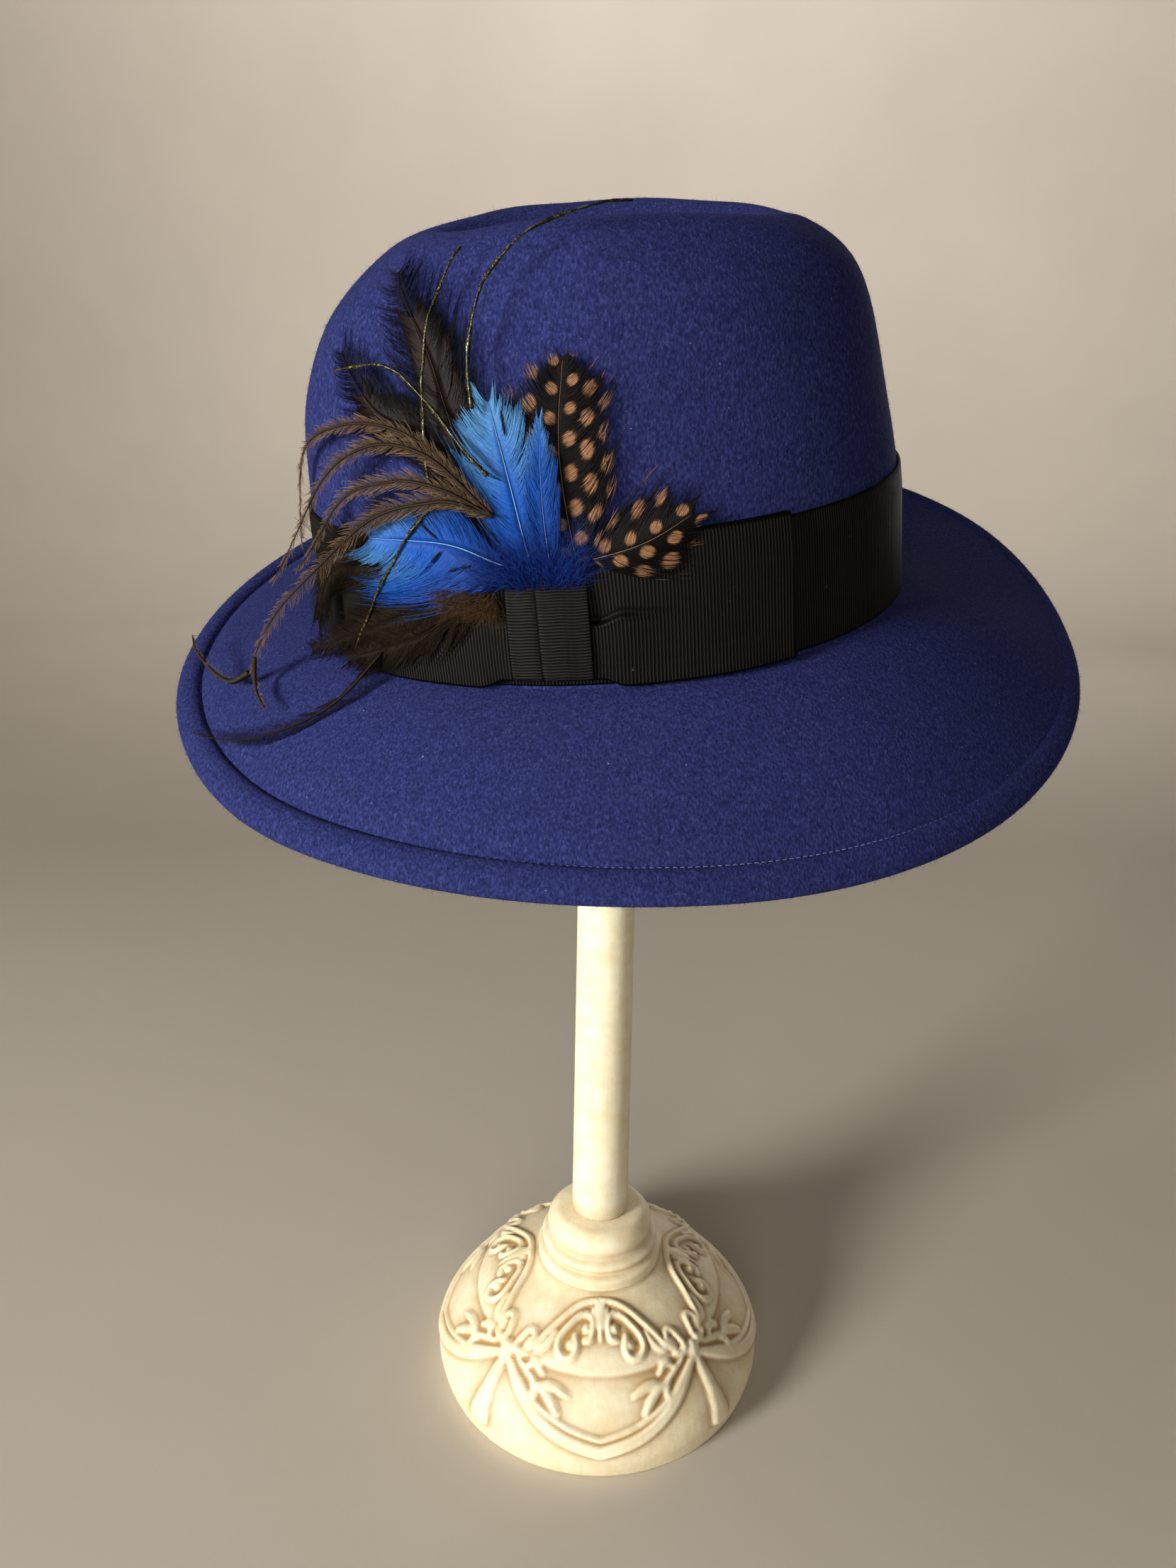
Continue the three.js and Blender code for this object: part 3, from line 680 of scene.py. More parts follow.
# Knot: degrees of its edges and crease, and level and lift along its strap
KNOT_FROM, KNOT_CREASE, KNOT_TO = 253.4, 258.6, 267.0
KNOT_STRAP = np.array([
    (1.46, 2.05), (1.6, 2.7), (1.64, 3.9), (1.52, 4.75), (1.2, 5.15), (0.9, 5.25), (0.6, 5.15), (0.32, 4.75),
    (0.2, 3.9), (0.24, 2.7), (0.38, 2.05),
])
KNOT_ROWS = np.concatenate([
    [KNOT_FROM, KNOT_FROM + 0.15], np.linspace(KNOT_FROM + 0.6, KNOT_CREASE - 0.25, 7),
    [KNOT_CREASE - 0.1, KNOT_CREASE, KNOT_CREASE + 0.12],
    np.linspace(KNOT_CREASE + 0.4, KNOT_TO - 0.6, 9), [KNOT_TO - 0.15, KNOT_TO],
])
KNOT_RIB_HEIGHT = RIB_HEIGHT * 1.25
CREASE_DEPTH, CREASE_REACH, CREASE_FLAT = 0.13, 0.14, 0.5
HALF_RISE, HALF_REACH = 0.06, 0.5
HALF_SHIFT = 0.45 * RIB_PITCH
BOW_EDGE = 0.4


def knot_ribbon():
    """Strap with ribs along it and an upright crease where its two halves meet."""
    level, lift = spline(KNOT_STRAP, np.linspace(0, 1, 300)).T
    ahead = unit(np.stack([np.gradient(level) * PER_LEVEL, np.gradient(lift)], -1))
    past = KNOT_ROWS - KNOT_CREASE
    crease = CREASE_DEPTH * bell(past / CREASE_REACH)
    half_up = HALF_RISE * smoothstep(past / HALF_REACH)
    weave = HALF_SHIFT * (past > 0) + 0.12 * np.sin(KNOT_ROWS * 1.3)
    rib = ribs(run_of(level * PER_LEVEL, lift) + weave)
    rib = rib * hemmed(KNOT_ROWS, BOW_EDGE) * (1 - crease / CREASE_FLAT)

    def side(angle, height):
        levels = level[:, None] + height * ahead[:, 1:] / PER_LEVEL
        return wrap(angle, levels, lift[:, None] - height * ahead[:, :1])

    outer = side(KNOT_ROWS, RIB_FLOOR + KNOT_RIB_HEIGHT * rib + half_up - crease)
    inner = side(KNOT_ROWS[::-4], np.full((len(level), 1), -RIBBON / 2))
    values = np.pad(rib, ((0, 0), (0, inner.shape[1])))
    return skin(np.concatenate([outer, inner], 1)), capped(values)


knot = ribbon("knot", "bow_knot", *knot_ribbon())

# Loops: degrees of root and end, levels of both edges where they are free, and the depth of the tuck
RIGHT_LOOP = dict(root=260.8, end=301.6, low=0.04, high=2.06, tuck=1.0)
LEFT_LOOP = dict(root=259.6, end=216.5, low=0.04, high=1.98, tuck=0.35)
LOOP_ROOT_LOW, LOOP_ROOT_HIGH, LOOP_ROOT_LAYERS = 0.16, 1.7, 1.25
LOOP_LAYERS = 2.0
LOOP_LIFT = 1.3 + GAP + RIBBON / 2
LOOP_HELD, LOOP_SPREAD = 0.18, 9.0
LOOP_INNER_STEPS, LOOP_FOLD_STEPS = 30, 10
# Rows across a loop: they follow the tuck's crease, which lies at row 0.5 and falls from the root to the end
LOOP_ROWS = np.concatenate([
    [0, 0.02], np.linspace(0.08, 0.4, 5), np.linspace(0.43, 0.57, 10), np.linspace(0.62, 0.92, 5), [0.98, 1],
])
TUCK_ROOT, TUCK_FALL = 0.56, 0.12
TUCK_FROM, TUCK_FADE = 0.12, 0.42
TUCK_BULGE, TUCK_RECESS, TUCK_TOP = 0.95, 1.1, 0.95
TUCK_LIP = 0.035
# Row and reach of the painted shade along the tuck's crease, where the ribs are flattened to the dark groove
# colour
TUCK_SHADE_ROW, TUCK_SHADE_REACH = 0.49, 0.03
SLACK = 0.3


def loop_ribbon(root, end, low, high, tuck):
    """Ribbon folded back on itself, gathered at its root under the knot, with a tuck in its outer layer."""
    sense = np.sign(end - root)
    per_mm = 1 / np.radians(1) / np.linalg.norm(wrap(end, 1.0, LOOP_LIFT)[:2])
    length = abs(end - root) / per_mm
    inner_f = np.linspace(0, 1, LOOP_INNER_STEPS)
    fold = np.linspace(0, np.pi, LOOP_FOLD_STEPS)[1:-1]
    outer_f = np.linspace(1, 0, round(length / RIB_PITCH * RIB_SAMPLES))
    f = np.concatenate([inner_f, 0 * fold + 1, outer_f])[:, None]
    bend = np.concatenate([0 * inner_f, fold, 0 * outer_f + np.pi])[:, None]
    freed = smoothstep((f - LOOP_HELD) * LOOP_SPREAD)

    def gathered(at_root, free):
        return at_root + (free - at_root) * freed

    reach = length * f + np.sin(bend) * LOOP_LAYERS / 2
    lift = LOOP_LIFT + (1 - np.cos(bend)) / 2 * gathered(LOOP_ROOT_LAYERS, LOOP_LAYERS)
    crease = TUCK_ROOT - TUCK_FALL * f
    above = crease + (LOOP_ROWS - 0.5) * 2 * (1 - crease)
    share = np.where(LOOP_ROWS < 0.5, LOOP_ROWS * 2 * crease, above)
    lowest = gathered(LOOP_ROOT_LOW, low)
    level = lowest + (gathered(LOOP_ROOT_HIGH, high) - lowest) * share
    run = run_of(reach[:, 0], lift[:, 0])
    on_outer = smoothstep((bend - 2) / 1.1)
    sway = 0.5 * np.sin(level * 2.2 + run * 0.05) * (1 - 0.6 * freed)
    near = 1 - smoothstep((f - TUCK_FROM) / TUCK_FADE)
    # Painted shade along the tuck's crease: its ribs are flattened there, so it takes the dark groove colour
    crease_shade = tuck * near * bell((LOOP_ROWS - TUCK_SHADE_ROW) / TUCK_SHADE_REACH)
    rib = ribs(run + sway) * hemmed(LOOP_ROWS, BOW_EDGE) * on_outer * (1 - crease_shade)
    lip = smoothstep((0.5 - LOOP_ROWS) / TUCK_LIP)
    bulge = TUCK_BULGE * smoothstep(share / crease)
    recess = TUCK_RECESS * (1 - smoothstep((share - crease) / (TUCK_TOP - crease)))
    tucked = tuck * near * (bulge * lip - recess * (1 - lip))
    slack = SLACK * freed * np.sin(f * 9 + 1.5) * np.sin(share * 4.4 + 2.4 * f)
    loose = on_outer * (tucked + slack)
    ahead = unit(np.concatenate([np.gradient(reach, axis=0), np.gradient(lift, axis=0)], 1))

    def side(levels, height):
        degrees = root + sense * per_mm * (reach + height * ahead[:, 1:])
        return wrap(degrees, levels, lift - height * ahead[:, :1])

    outer = side(level, RIB_FLOOR + RIB_HEIGHT * rib + loose)
    inner = side(level[:, ::-1], -RIBBON / 2 + loose[:, ::-1])
    return skin(np.concatenate([outer, inner], 1)), capped(np.concatenate([rib, 0 * rib], 1))


right = ribbon("right_loop", "bow_right_loop", *loop_ribbon(**RIGHT_LOOP))
left = ribbon("left_loop", "bow_left_loop", *loop_ribbon(**LEFT_LOOP))

# Feathers: points of each shaft by angle, level and lift off the crown, and the vane's half width

# Outlines of a vane: share of its half width at even places from the root to the tip
FULL = (0.5, 0.62, 0.76, 0.9, 0.98, 1, 0.92, 0.68, 0.12)
SLENDER = (0.3, 0.62, 0.88, 1, 0.95, 0.8, 0.58, 0.34, 0.12)
EVEN = (0.6, 0.8, 0.95, 1, 1, 0.95, 0.85, 0.65, 0.3)
BLUNT = (0.2, 0.5, 0.78, 0.95, 1, 1, 0.96, 0.82, 0.3)
WEDGE = (0.7, 0.95, 1, 0.95, 0.85, 0.72, 0.56, 0.38, 0.15)
VALUES = ("shade", "spot", "quill")
# Steps over which a shaft's heading and the crown's scale are taken
HEADING_STEP = 0.02
HALF_DEGREE = 0.5
LEVEL_STEP = 0.1


class Shaft:
    """Line of a feather on the crown, with the lie of the surface along it."""

    def __init__(self, points):
        self.points = points
        line = wrap(*spline(points, np.linspace(0, 1, 80)).T)
        self.length = np.linalg.norm(np.diff(line, axis=0), axis=1).sum()

    def sheet(self, f, ahead, across, rise):
        """Paths (count, steps, 3) by millimetres ahead and across from the shaft at f, and their normals."""
        angle, level, lift = spline(self.points, f).T
        step = spline(self.points, np.minimum(f + HEADING_STEP, 1))
        step = step - spline(self.points, np.maximum(f - HEADING_STEP, 0))
        degree = wrap(angle + HALF_DEGREE, level, lift) - wrap(angle - HALF_DEGREE, level, lift)
        climb = wrap(angle, level + LEVEL_STEP, lift) - wrap(angle, level - LEVEL_STEP, lift)
        per_angle = np.linalg.norm(degree, axis=-1)
        per_level = np.linalg.norm(climb, axis=-1) / (2 * LEVEL_STEP)
        along = unit(np.stack([step[:, 0] * per_angle, step[:, 1] * per_level], -1))
        degrees = angle[:, None] + (ahead * along[:, :1] - across * along[:, 1:]) / per_angle[:, None]
        levels = level[:, None] + (ahead * along[:, 1:] + across * along[:, :1]) / per_level[:, None]
        return wrap_out(degrees, levels, lift[:, None] + rise)


def rachis(heap, shaft, half, end=0.97, rise=0.25):
    """Quill along a shaft."""
    f = np.linspace(0, end, 40)
    none = np.zeros((len(f), 1))
    paths, normals = shaft.sheet(f, none, none, none + rise)
    thin = half * (1 - 0.75 * f[None])
    heap.add(strands(paths[None, :, 0], normals[None, :, 0], thin, thin * 1.2), quill=1.0)


# Barbs: how much further they lean near the tip, how unevenly they lean, reach and rise by clump and singly
TIP_LEAN, TIP_FROM = 0.6, 0.8
CLUMP_LEAN, LONE_LEAN = 0.12, 0.04
CLUMP_FRAY = 0.6
LONE_CURL = 0.25
TIP_ROUNDS = 12
# Every third barb across a spot is mostly dark
STRIPE, STRIPE_SHARE = 3, 0.35


def ragged(group, base, by_clump, single):
    """A value for each barb, uneven by clump and by itself."""
    clumps = base + by_clump * rng.normal(size=group.max() + 1)
    return clumps[group] + single * rng.normal(size=len(group))


def barbs(heap, shaft, half, outline, count, rake, width, clump, curl, fray=0.1, pinch=0.5, steps=7,
          thick=0.06, start=0.0, end=0.985, uneven=(1, 1), spots=None, shade=(0.1, 0.65, 0.25)):
    """Barbs on both sides of a shaft: they lean ahead, cling together in clumps and end raggedly."""
    t = np.linspace(0, 1, steps)
    for side, share in zip((-1, 1), uneven):
        f = np.sort(start + (end - start) * (np.arange(count) + rng.uniform(0, 0.7, count)) / count)
        lead = rake * (1 + TIP_LEAN * smoothstep((f - TIP_FROM) / (1 - TIP_FROM)))
        tip = f
        for _ in range(TIP_ROUNDS):
            reach = half * share * smooth(outline, tip * (len(outline) - 1))
            tip = (tip + np.minimum(f + lead * reach / shaft.length, 1)) / 2
        group = np.cumsum(rng.random(count) < 1 / clump)
        members = np.maximum(np.bincount(group), 1)
        middle = (np.bincount(group, f) / members)[group]
        lean = ragged(group, 1, CLUMP_LEAN, LONE_LEAN)
        reach = reach * ragged(group, 1, CLUMP_FRAY * fray, fray)
        rise = ragged(group, 0, curl, LONE_CURL * curl)
        ahead = (reach * lead * lean)[:, None] * (0.4 * t + 0.6 * t * t)
        ahead = ahead + ((middle - f) * shaft.length * pinch)[:, None] * t * t
        across = side * reach[:, None] * (1.25 * t - 0.25 * t * t)
        paths, normals = shaft.sheet(f, ahead, across, rise[:, None] * t * t)
        body = strands(paths, normals, width * (1 - 0.75 * t ** 1.5)[None], thick * (1 - 0.6 * t)[None])
        values = {"shade": np.clip(shade[0] + shade[1] * f[:, None] + shade[2] * t, 0, 1)}
        if spots:
            stripe = np.where(np.arange(count) % STRIPE == 0, STRIPE_SHARE, 1)[:, None]
            values["spot"] = stripe * spots(f[:, None] * shaft.length + ahead, across)
        heap.add(body, **{key: np.repeat(np.ravel(value), 3) for key, value in values.items()})


# The blue's spot colour is the near black of the painted shade in its slits
blue_vane = feather_look("feather_blue", [(4, 28, 104), (14, 78, 170), (92, 154, 204)], (130, 168, 214),
                         (8, 9, 22))
guinea_vane = feather_look("feather_guinea", [(9, 7, 8), (13, 10, 11), (20, 16, 16)], (150, 116, 86),
                           (182, 134, 97), gloss=0.12)
hackle_vane = feather_look("feather_hackle", [(20, 13, 12), (27, 18, 16), (4, 3, 4)], (66, 52, 44),
                           rough=0.42, gloss=0.1)
tail_vane = feather_look("feather_tail", [(14, 10, 5), (32, 24, 13), (24, 18, 11)], (38, 29, 19),
                         rough=0.6, gloss=0.08)
plume_fuzz = feather_look("feather_plume", [(38, 29, 21), (92, 72, 54), (158, 130, 102)], (46, 35, 25),
                          rough=0.7)
ginger_fuzz = feather_look("feather_ginger", [(24, 16, 8), (78, 54, 27), (128, 94, 54)], (40, 28, 16),
                           rough=0.7)

DOT_ROWS, DOT_COLUMNS, DOT_RADIUS = 8.5, 5.6, 1.95
DOT_LONG = 1.2
DOT_SOFT = 0.45


def guinea_dots(ahead, across):
    """Staggered round spots over a vane, by millimetres along and across it."""
    column = np.floor(across / DOT_COLUMNS) + 0.5
    shift = 0.5 * ((column + 0.5) % 2) + 0.08 * np.sin(column * 2.3)
    row = np.round(ahead / DOT_ROWS - shift)
    wobble = np.sin(row * 12.9 + column * 7.7)
    off_row = ahead - (row + shift + 0.06 * wobble) * DOT_ROWS
    off_column = across - column * DOT_COLUMNS - 0.4 * wobble
    away = np.hypot(off_row / DOT_LONG, off_column)
    return smoothstep((DOT_RADIUS + 0.25 * wobble - away) / DOT_SOFT)


SLIT_HALF, SLIT_THICK, SLIT_RISE = 0.34, 0.08, 0.55


def slits(heap, shaft, places):
    """Dark narrow strips lying on a vane, painted shade where it parts in slits: share along the shaft,
    millimetres across, length and lean.
    """
    t = np.linspace(-0.5, 0.5, 9)
    half = SLIT_HALF * np.sqrt(np.maximum(1 - 4 * t * t, 0.01))
    for f, across, length, lean in places:
        ahead = length * t[None] * math.cos(lean)
        sideways = across + length * t[None] * math.sin(lean)
        paths, normals = shaft.sheet(np.array([f]), ahead, sideways, SLIT_RISE)
        heap.add(strands(paths, normals, half[None], SLIT_THICK), spot=1.0)


def blue_feather(name, points, half, outline, count, rake, tone, fray=0.12, quill=0.3, uneven=(1, 1),
                 cuts=()):
    """Soft dyed vane of fine close barbs, with looser hairs over it."""
    heap = Heap(*VALUES)
    shaft = Shaft(points)
    barbs(heap, shaft, half, outline, count, rake, width=0.2, clump=22, pinch=0.22, fray=fray, curl=0.3,
          uneven=uneven, shade=(tone, 0.6, 0.3))
    barbs(heap, shaft, half * 1.05, outline, count // 2, rake * 1.15, width=0.08, clump=2, pinch=0.2,
          fray=0.2, curl=0.9, uneven=uneven, shade=(tone + 0.06, 0.55, 0.35))
    rachis(heap, shaft, quill)
    slits(heap, shaft, cuts)
    heap.piece(name, blue_vane, "blue_feather", ["feather_" + name])


blue_feather("blue_upright", [(258.5, 1.8, 5.3), (256, 2.5, 5.3), (253, 3.16, 5.3)], 11.5, BLUNT, 320,
             rake=1.3, tone=0.2, uneven=(0.72, 1), cuts=[(0.84, -2.6, 7.0, -0.1), (0.5, -7.0, 5.0, 0.35)])
blue_feather("blue_narrow", [(261.5, 1.8, 6.8), (261, 2.4, 6.8), (261.4, 3.0, 6.8)], 4.6, WEDGE, 200,
             rake=2.4, tone=-0.05, fray=0.2, quill=0.1)
blue_feather("blue_side", [(254, 1.84, 6.9), (244.5, 2.06, 7.8), (228.5, 2.06, 7.9)], 14.5, BLUNT, 360,
             rake=1.0, tone=0.02, uneven=(0.5, 1.85),
             cuts=[(0.56, 4.5, 6.0, 0.9), (0.4, 7.5, 4.0, 0.7), (0.6, -3.0, 7.0, -0.6), (0.3, 5.0, 3.5, 0.6)])


def guinea_feather(name, points, half, count, outline, rake):
    """Dark vane with tan spots and a loose fringe that carries them on."""
    heap = Heap(*VALUES)
    shaft = Shaft(points)
    barbs(heap, shaft, half, outline, count, rake, steps=18, width=0.22, clump=20, pinch=0.25, curl=0.2,
          spots=guinea_dots, shade=(0.1, 0.3, 0.3))
    barbs(heap, shaft, half * 1.25, outline, count // 3, rake * 1.1, steps=12, width=0.13, clump=4, pinch=0.4,
          fray=0.14, curl=0.6, spots=guinea_dots, shade=(0.3, 0.3, 0.4))
    rachis(heap, shaft, 0.15)
    heap.piece(name, guinea_vane, "guinea_feather", ["feather_" + name])


guinea_feather("guinea_tall", [(265.6, 1.8, 3.75), (264, 2.7, 3.75), (265.5, 3.5, 3.75)],
               13.5, 300, FULL, 0.9)
guinea_feather("guinea_side", [(268.2, 1.86, 5.2), (276, 1.98, 5.35), (284.5, 2.2, 5.35)],
               9.5, 170, BLUNT, 1.3)


def hackle_feather(name, points, half, count, hair):
    """Smooth dark web along the lower shaft and long fine hairs over its upper part."""
    heap = Heap(*VALUES)
    shaft = Shaft(points)
    barbs(heap, shaft, half, SLENDER, count, 1.9, end=0.75, width=0.26, clump=40, pinch=0.1, fray=0.04,
          curl=0.1, steps=6, shade=(0.35, 0.2, 0.0))
    barbs(heap, shaft, half * hair, EVEN, count, 1.25, start=0.2, width=0.075, clump=4, pinch=0.3, fray=0.16,
          curl=0.7, shade=(0.75, 0.3, 0.2))
    rachis(heap, shaft, 0.24, end=0.9)
    heap.piece(name, hackle_vane, "hackle_feather", ["feather_" + name])


hackle_feather("hackle_tall", [(255, 1.86, 3.75), (247, 2.85, 3.75), (239.5, 3.75, 3.6), (225, 4.62, 3)],
               8, 300, 1.7)
hackle_feather("hackle_side", [(250.4, 1.96, 2.2), (241, 2.8, 2.2), (229, 3.1, 2.2), (215.5, 3.7, 2.2)],
               7, 260, 1.9)

TAIL_SPRAY = (
    (7.5, [(251, 1.5, 4.8), (240, 1.2, 6.2), (226, 0.76, 6.9), (206, 0.1, 11.5)]),
    (6.5, [(250, 1.42, 4.8), (238, 0.8, 6.2), (227, 0.45, 6.7), (219, 0.2, 8.5)]),
    (10, [(246, 1.38, 5.6), (231, 1.68, 6.3), (217, 1.5, 7.5), (209.5, 0.6, 9.5)]),
)
TAIL_WISP = [(228, 0.42, 6.7), (222, -0.3, 22), (214, -0.72, 42), (202, -0.95, 54)]


def tail_spray():
    """Loose dark feathers low on the crown, and a thin one that hangs over the brim."""
    heap = Heap(*VALUES)
    for half, points in TAIL_SPRAY:
        shaft = Shaft(points)
        barbs(heap, shaft, half, EVEN, 240, 1.8, steps=5, width=0.22, clump=9, pinch=0.4, fray=0.24, curl=0.5,
              shade=(0.1, 0.5, 0.3))
        barbs(heap, shaft, half * 1.25, EVEN, 110, 2.0, start=0.4, steps=5, width=0.07, clump=3, fray=0.25,
              curl=0.9)
        rachis(heap, shaft, 0.24)
    wisp = Shaft(TAIL_WISP)
    barbs(heap, wisp, 2.8, EVEN, 230, 2.4, steps=5, width=0.09, clump=5, pinch=0.3, fray=0.3, curl=0.3,
          shade=(0.2, 0.5, 0.3))
    rachis(heap, wisp, 0.55)
    heap.piece("tail_spray", tail_vane, "tail_feather", ["feather_tail_spray"])


tail_spray()

PLUME_SPRAY = (
    (3.2, [(253, 2.3, 6.8), (243, 2.76, 10.5), (231, 2.8, 11), (218, 2.38, 12.5), (206, 1.25, 20)]),
    (3, [(253, 2.3, 6.8), (245, 2.52, 10.5), (236, 2.56, 10.8), (224, 2.34, 11.5), (214, 1.55, 17)]),
    (3.8, [(253, 2.3, 6.8), (244, 2.42, 10.8), (228, 2.12, 13), (211, 0.9, 24), (199, -0.4, 32)]),
    (2.8, [(253, 2.3, 6.8), (240, 2.9, 9.8), (222, 2.95, 6.5), (203, 2.55, 4.5), (193, 1.45, 5)]),
    (1.6, [(200.5, -0.25, 31), (197, -0.45, 38), (190, -0.3, 46), (181, -0.25, 53)]),
    (1.6, [(204, 0.1, 29), (203, -0.25, 30), (207, -0.38, 32), (212, -0.4, 34)]),
)
PLUME_BARBS_PER_MM = 3
# The short curled ends have thick quills
PLUME_THIN, PLUME_QUILL, PLUME_END_QUILL = 2, 0.55, 1.3


def plume_spray():
    """Drooping strands with short dense barbs."""
    heap = Heap(*VALUES)
    for half, points in PLUME_SPRAY:
        shaft = Shaft(points)
        count = round(shaft.length * PLUME_BARBS_PER_MM)
        barbs(heap, shaft, half * 0.7, EVEN, count, 1.7, end=1.0, steps=4, width=0.13, thick=0.08, clump=4,
              pinch=0.4, fray=0.28, curl=0.7, shade=(0.05, 0.15, 0.7))
        rachis(heap, shaft, PLUME_QUILL if half > PLUME_THIN else PLUME_END_QUILL, end=1.0, rise=0.1)
    heap.piece("plume_spray", plume_fuzz, "plume_feather", ["feather_plume_spray"])


plume_spray()

HERL_LIFT = 9.0
# Points by angle and level. The first strand darkens towards its tip
HERLS = (
    [(251, 3.1), (250.5, 3.75), (254, 4.4), (266, 5.0), (281, 5.25)],
    [(243, 2.55), (242, 3.6), (244, 4.7)],
    [(253, 2.6), (236, 3.45), (219, 3.45)],
    [(245, 2.55), (234, 1.8), (218, 0.05)],
)


def herl_strands():
    """Long bare strands, twisted, that stand off the crown and the feathers."""
    heap = Heap("shade")
    f = np.linspace(0, 1, 160)
    lift = HERL_LIFT - 2.5 * f ** 2 + 0.35 * np.sin(23 * f)
    half = 0.8 * (1 - 0.4 * f) * (0.9 + 0.1 * np.sin(130 * f))
    twist = 12 * f[:, None]
    darkening = 0.1 + 0.6 * smoothstep((f - 0.5) / 0.4)
    uneven = 0.15 + 0.15 * np.sin(7 * f)
    for points in HERLS:
        angle, level = spline(points, f).T
        path, out = wrap_out(angle, level, lift)
        turned = out * np.cos(twist) + np.cross(out, unit(np.gradient(path, axis=0))) * np.sin(twist)
        shade = darkening if points is HERLS[0] else uneven
        heap.add(strands(path[None], turned[None], half[None], half[None] * 1.1), shade=np.repeat(shade, 3))
    heap.piece("herl_strands", herl_look(), "tail_feather")


herl_strands()

FLUFF_HALF, FLUFF_THICK = 0.065, 0.06
# Millimetres to a degree round the crown where the fluff lies
PER_DEGREE = 1.5


def fluff(name, material, slot, sides, heights, lift, count, length, heading, stray, rise, tone):
    """Loose down: fine curved hairs from a patch, by degrees of heading on the crown (0 is round it)."""
    t = np.linspace(0, 1, 5)
    share = rng.random((count, 1))
    angle = sides[0] + (sides[1] - sides[0]) * share
    level = rng.uniform(*heights, (count, 1))
    way = np.radians(heading[0] + (heading[1] - heading[0]) * share + stray * rng.normal(size=(count, 1)))
    reach = rng.uniform(*length, (count, 1)) * t
    bend = way + 0.4 * rng.normal(size=(count, 1)) * t
    lifts = lift + rng.uniform(-1.2, rise, (count, 1)) * np.sin(t * 2.2) + rng.uniform(-0.6, 0.6, (count, 1))
    degrees = angle + reach * np.cos(bend) / PER_DEGREE
    paths, normals = wrap_out(degrees, level + reach * np.sin(bend) / PER_LEVEL, lifts)
    shade = np.clip(rng.normal(tone, 0.12, (count, 1)) + 0.35 * t * t, 0, 1)
    heap = Heap(*VALUES)
    body = strands(paths, normals, FLUFF_HALF * (1 - 0.7 * t)[None], FLUFF_THICK * (1 - 0.6 * t)[None])
    heap.add(body, shade=np.repeat(shade.ravel(), 3))
    heap.piece(name, material, slot)


fluff("blue_fluff", blue_vane, "blue_feather", (251, 266), (1.5, 1.86), 7.0, 1100, length=(3, 13),
      heading=(160, 60), stray=26, rise=1.6, tone=0.0)
fluff("ginger_fluff", ginger_fuzz, "plume_feather", (243, 252.4), (1.2, 1.5), 7.2, 800, length=(3, 8),
      heading=(205, 240), stray=24, rise=0.9, tone=0.25)

# Stand

# Turned profile of the foot and its collar, radius and height
BASE = np.array([
    (71.4, 0), (72.8, 5), (73.4, 11), (71.2, 18), (66.4, 25), (60, 32), (52, 40), (42, 47.5), (31, 53.5),
    (27.5, 56), (27.5, 60.5), (24.6, 62.5), (25.8, 66), (22.8, 69), (23, 74.5), (19.5, 79), (15, 80),
])
BASE_RADIUS, BASE_Z = BASE.T
COLLAR_FOOT = 9
# The ornament repeats round the foot, from the degrees of its first knot
REPEATS = 4
SECTOR = 360 / REPEATS
FIRST_KNOT = 226


def base_point(angle, level):
    return turned_point(angle, smooth(BASE_RADIUS, level), smooth(BASE_Z, level))


# Ornament of one sector, given on its first half and mirrored on the second: strokes through points of
# degrees from the knot and level, with half widths at both ends, height and kind
STROKES = (
    ([(0, 5.45), (7, 5.0), (18, 4.0), (31, 3.1), (45, 2.5)], 1.8, 2.8, 1.9, "ribbon"),
    ([(4, 5.3), (12, 4.8), (22, 4.15), (33, 3.6), (45, 3.15)], 0.9, 1.0, 1.3, "cord"),
    ([(0, 5.4), (0, 4.2), (-0.6, 3.2), (-1.2, 2.2)], 1.6, 3.4, 1.9, "ribbon"),
    ([(12, 6.1), (16, 6.75), (22, 7.35), (29, 7.75), (36, 7.98), (42.5, 8.05)], 1.1, 1.5, 1.9, "cord"),
    ([(36.5, 6.72), (39.6, 6.8), (40.8, 7.15), (38.5, 7.48), (34.5, 7.52), (30, 7.4), (25.5, 7.05),
      (22.8, 6.65), (23.5, 6.3), (27, 6.08), (31, 6.15), (33, 6.5), (31, 6.8)], 1.2, 1.2, 1.9, "cord"),
    ([(13.5, 6.0), (17, 6.25), (20, 6.8)], 1.5, 1.5, 1.5, "leaf"),
    ([(3.5, 5.95), (6, 6.5), (10, 6.45), (10.5, 6.05), (7.8, 6.0)], 1.3, 1.0, 1.7, "cord"),
    ([(45, 6.75), (45, 7.6), (45, 8.2)], 1.5, 1.5, 1.9, "leaf"),
    ([(44.3, 7.2), (43.3, 7.8), (41.2, 8.15)], 1.4, 1.4, 1.8, "leaf"),
    ([(43.6, 7.1), (41.8, 7.5), (39.4, 7.75)], 1.2, 1.2, 1.6, "leaf"),
    ([(7, 5.5), (13, 5.25), (20, 4.88)], 1.3, 1.0, 1.5, "cord"),
    ([(18.5, 5.0), (24.5, 4.65), (29, 4.05)], 2.0, 2.0, 1.7, "leaf"),
    ([(18.5, 4.95), (25, 5.08), (32, 4.85)], 1.8, 1.8, 1.6, "leaf"),
    ([(15.5, 5.15), (18.5, 4.65), (18, 4.2)], 1.6, 1.6, 1.5, "leaf"),
    ([(11.5, 5.4), (15.5, 5.62), (19.5, 5.4)], 1.8, 1.8, 1.7, "leaf"),
    ([(-9, 5.75), (-4, 5.62), (0, 5.55)], 1.6, 2.0, 1.8, "cord"),
)
STROKE_SEGMENTS = 36
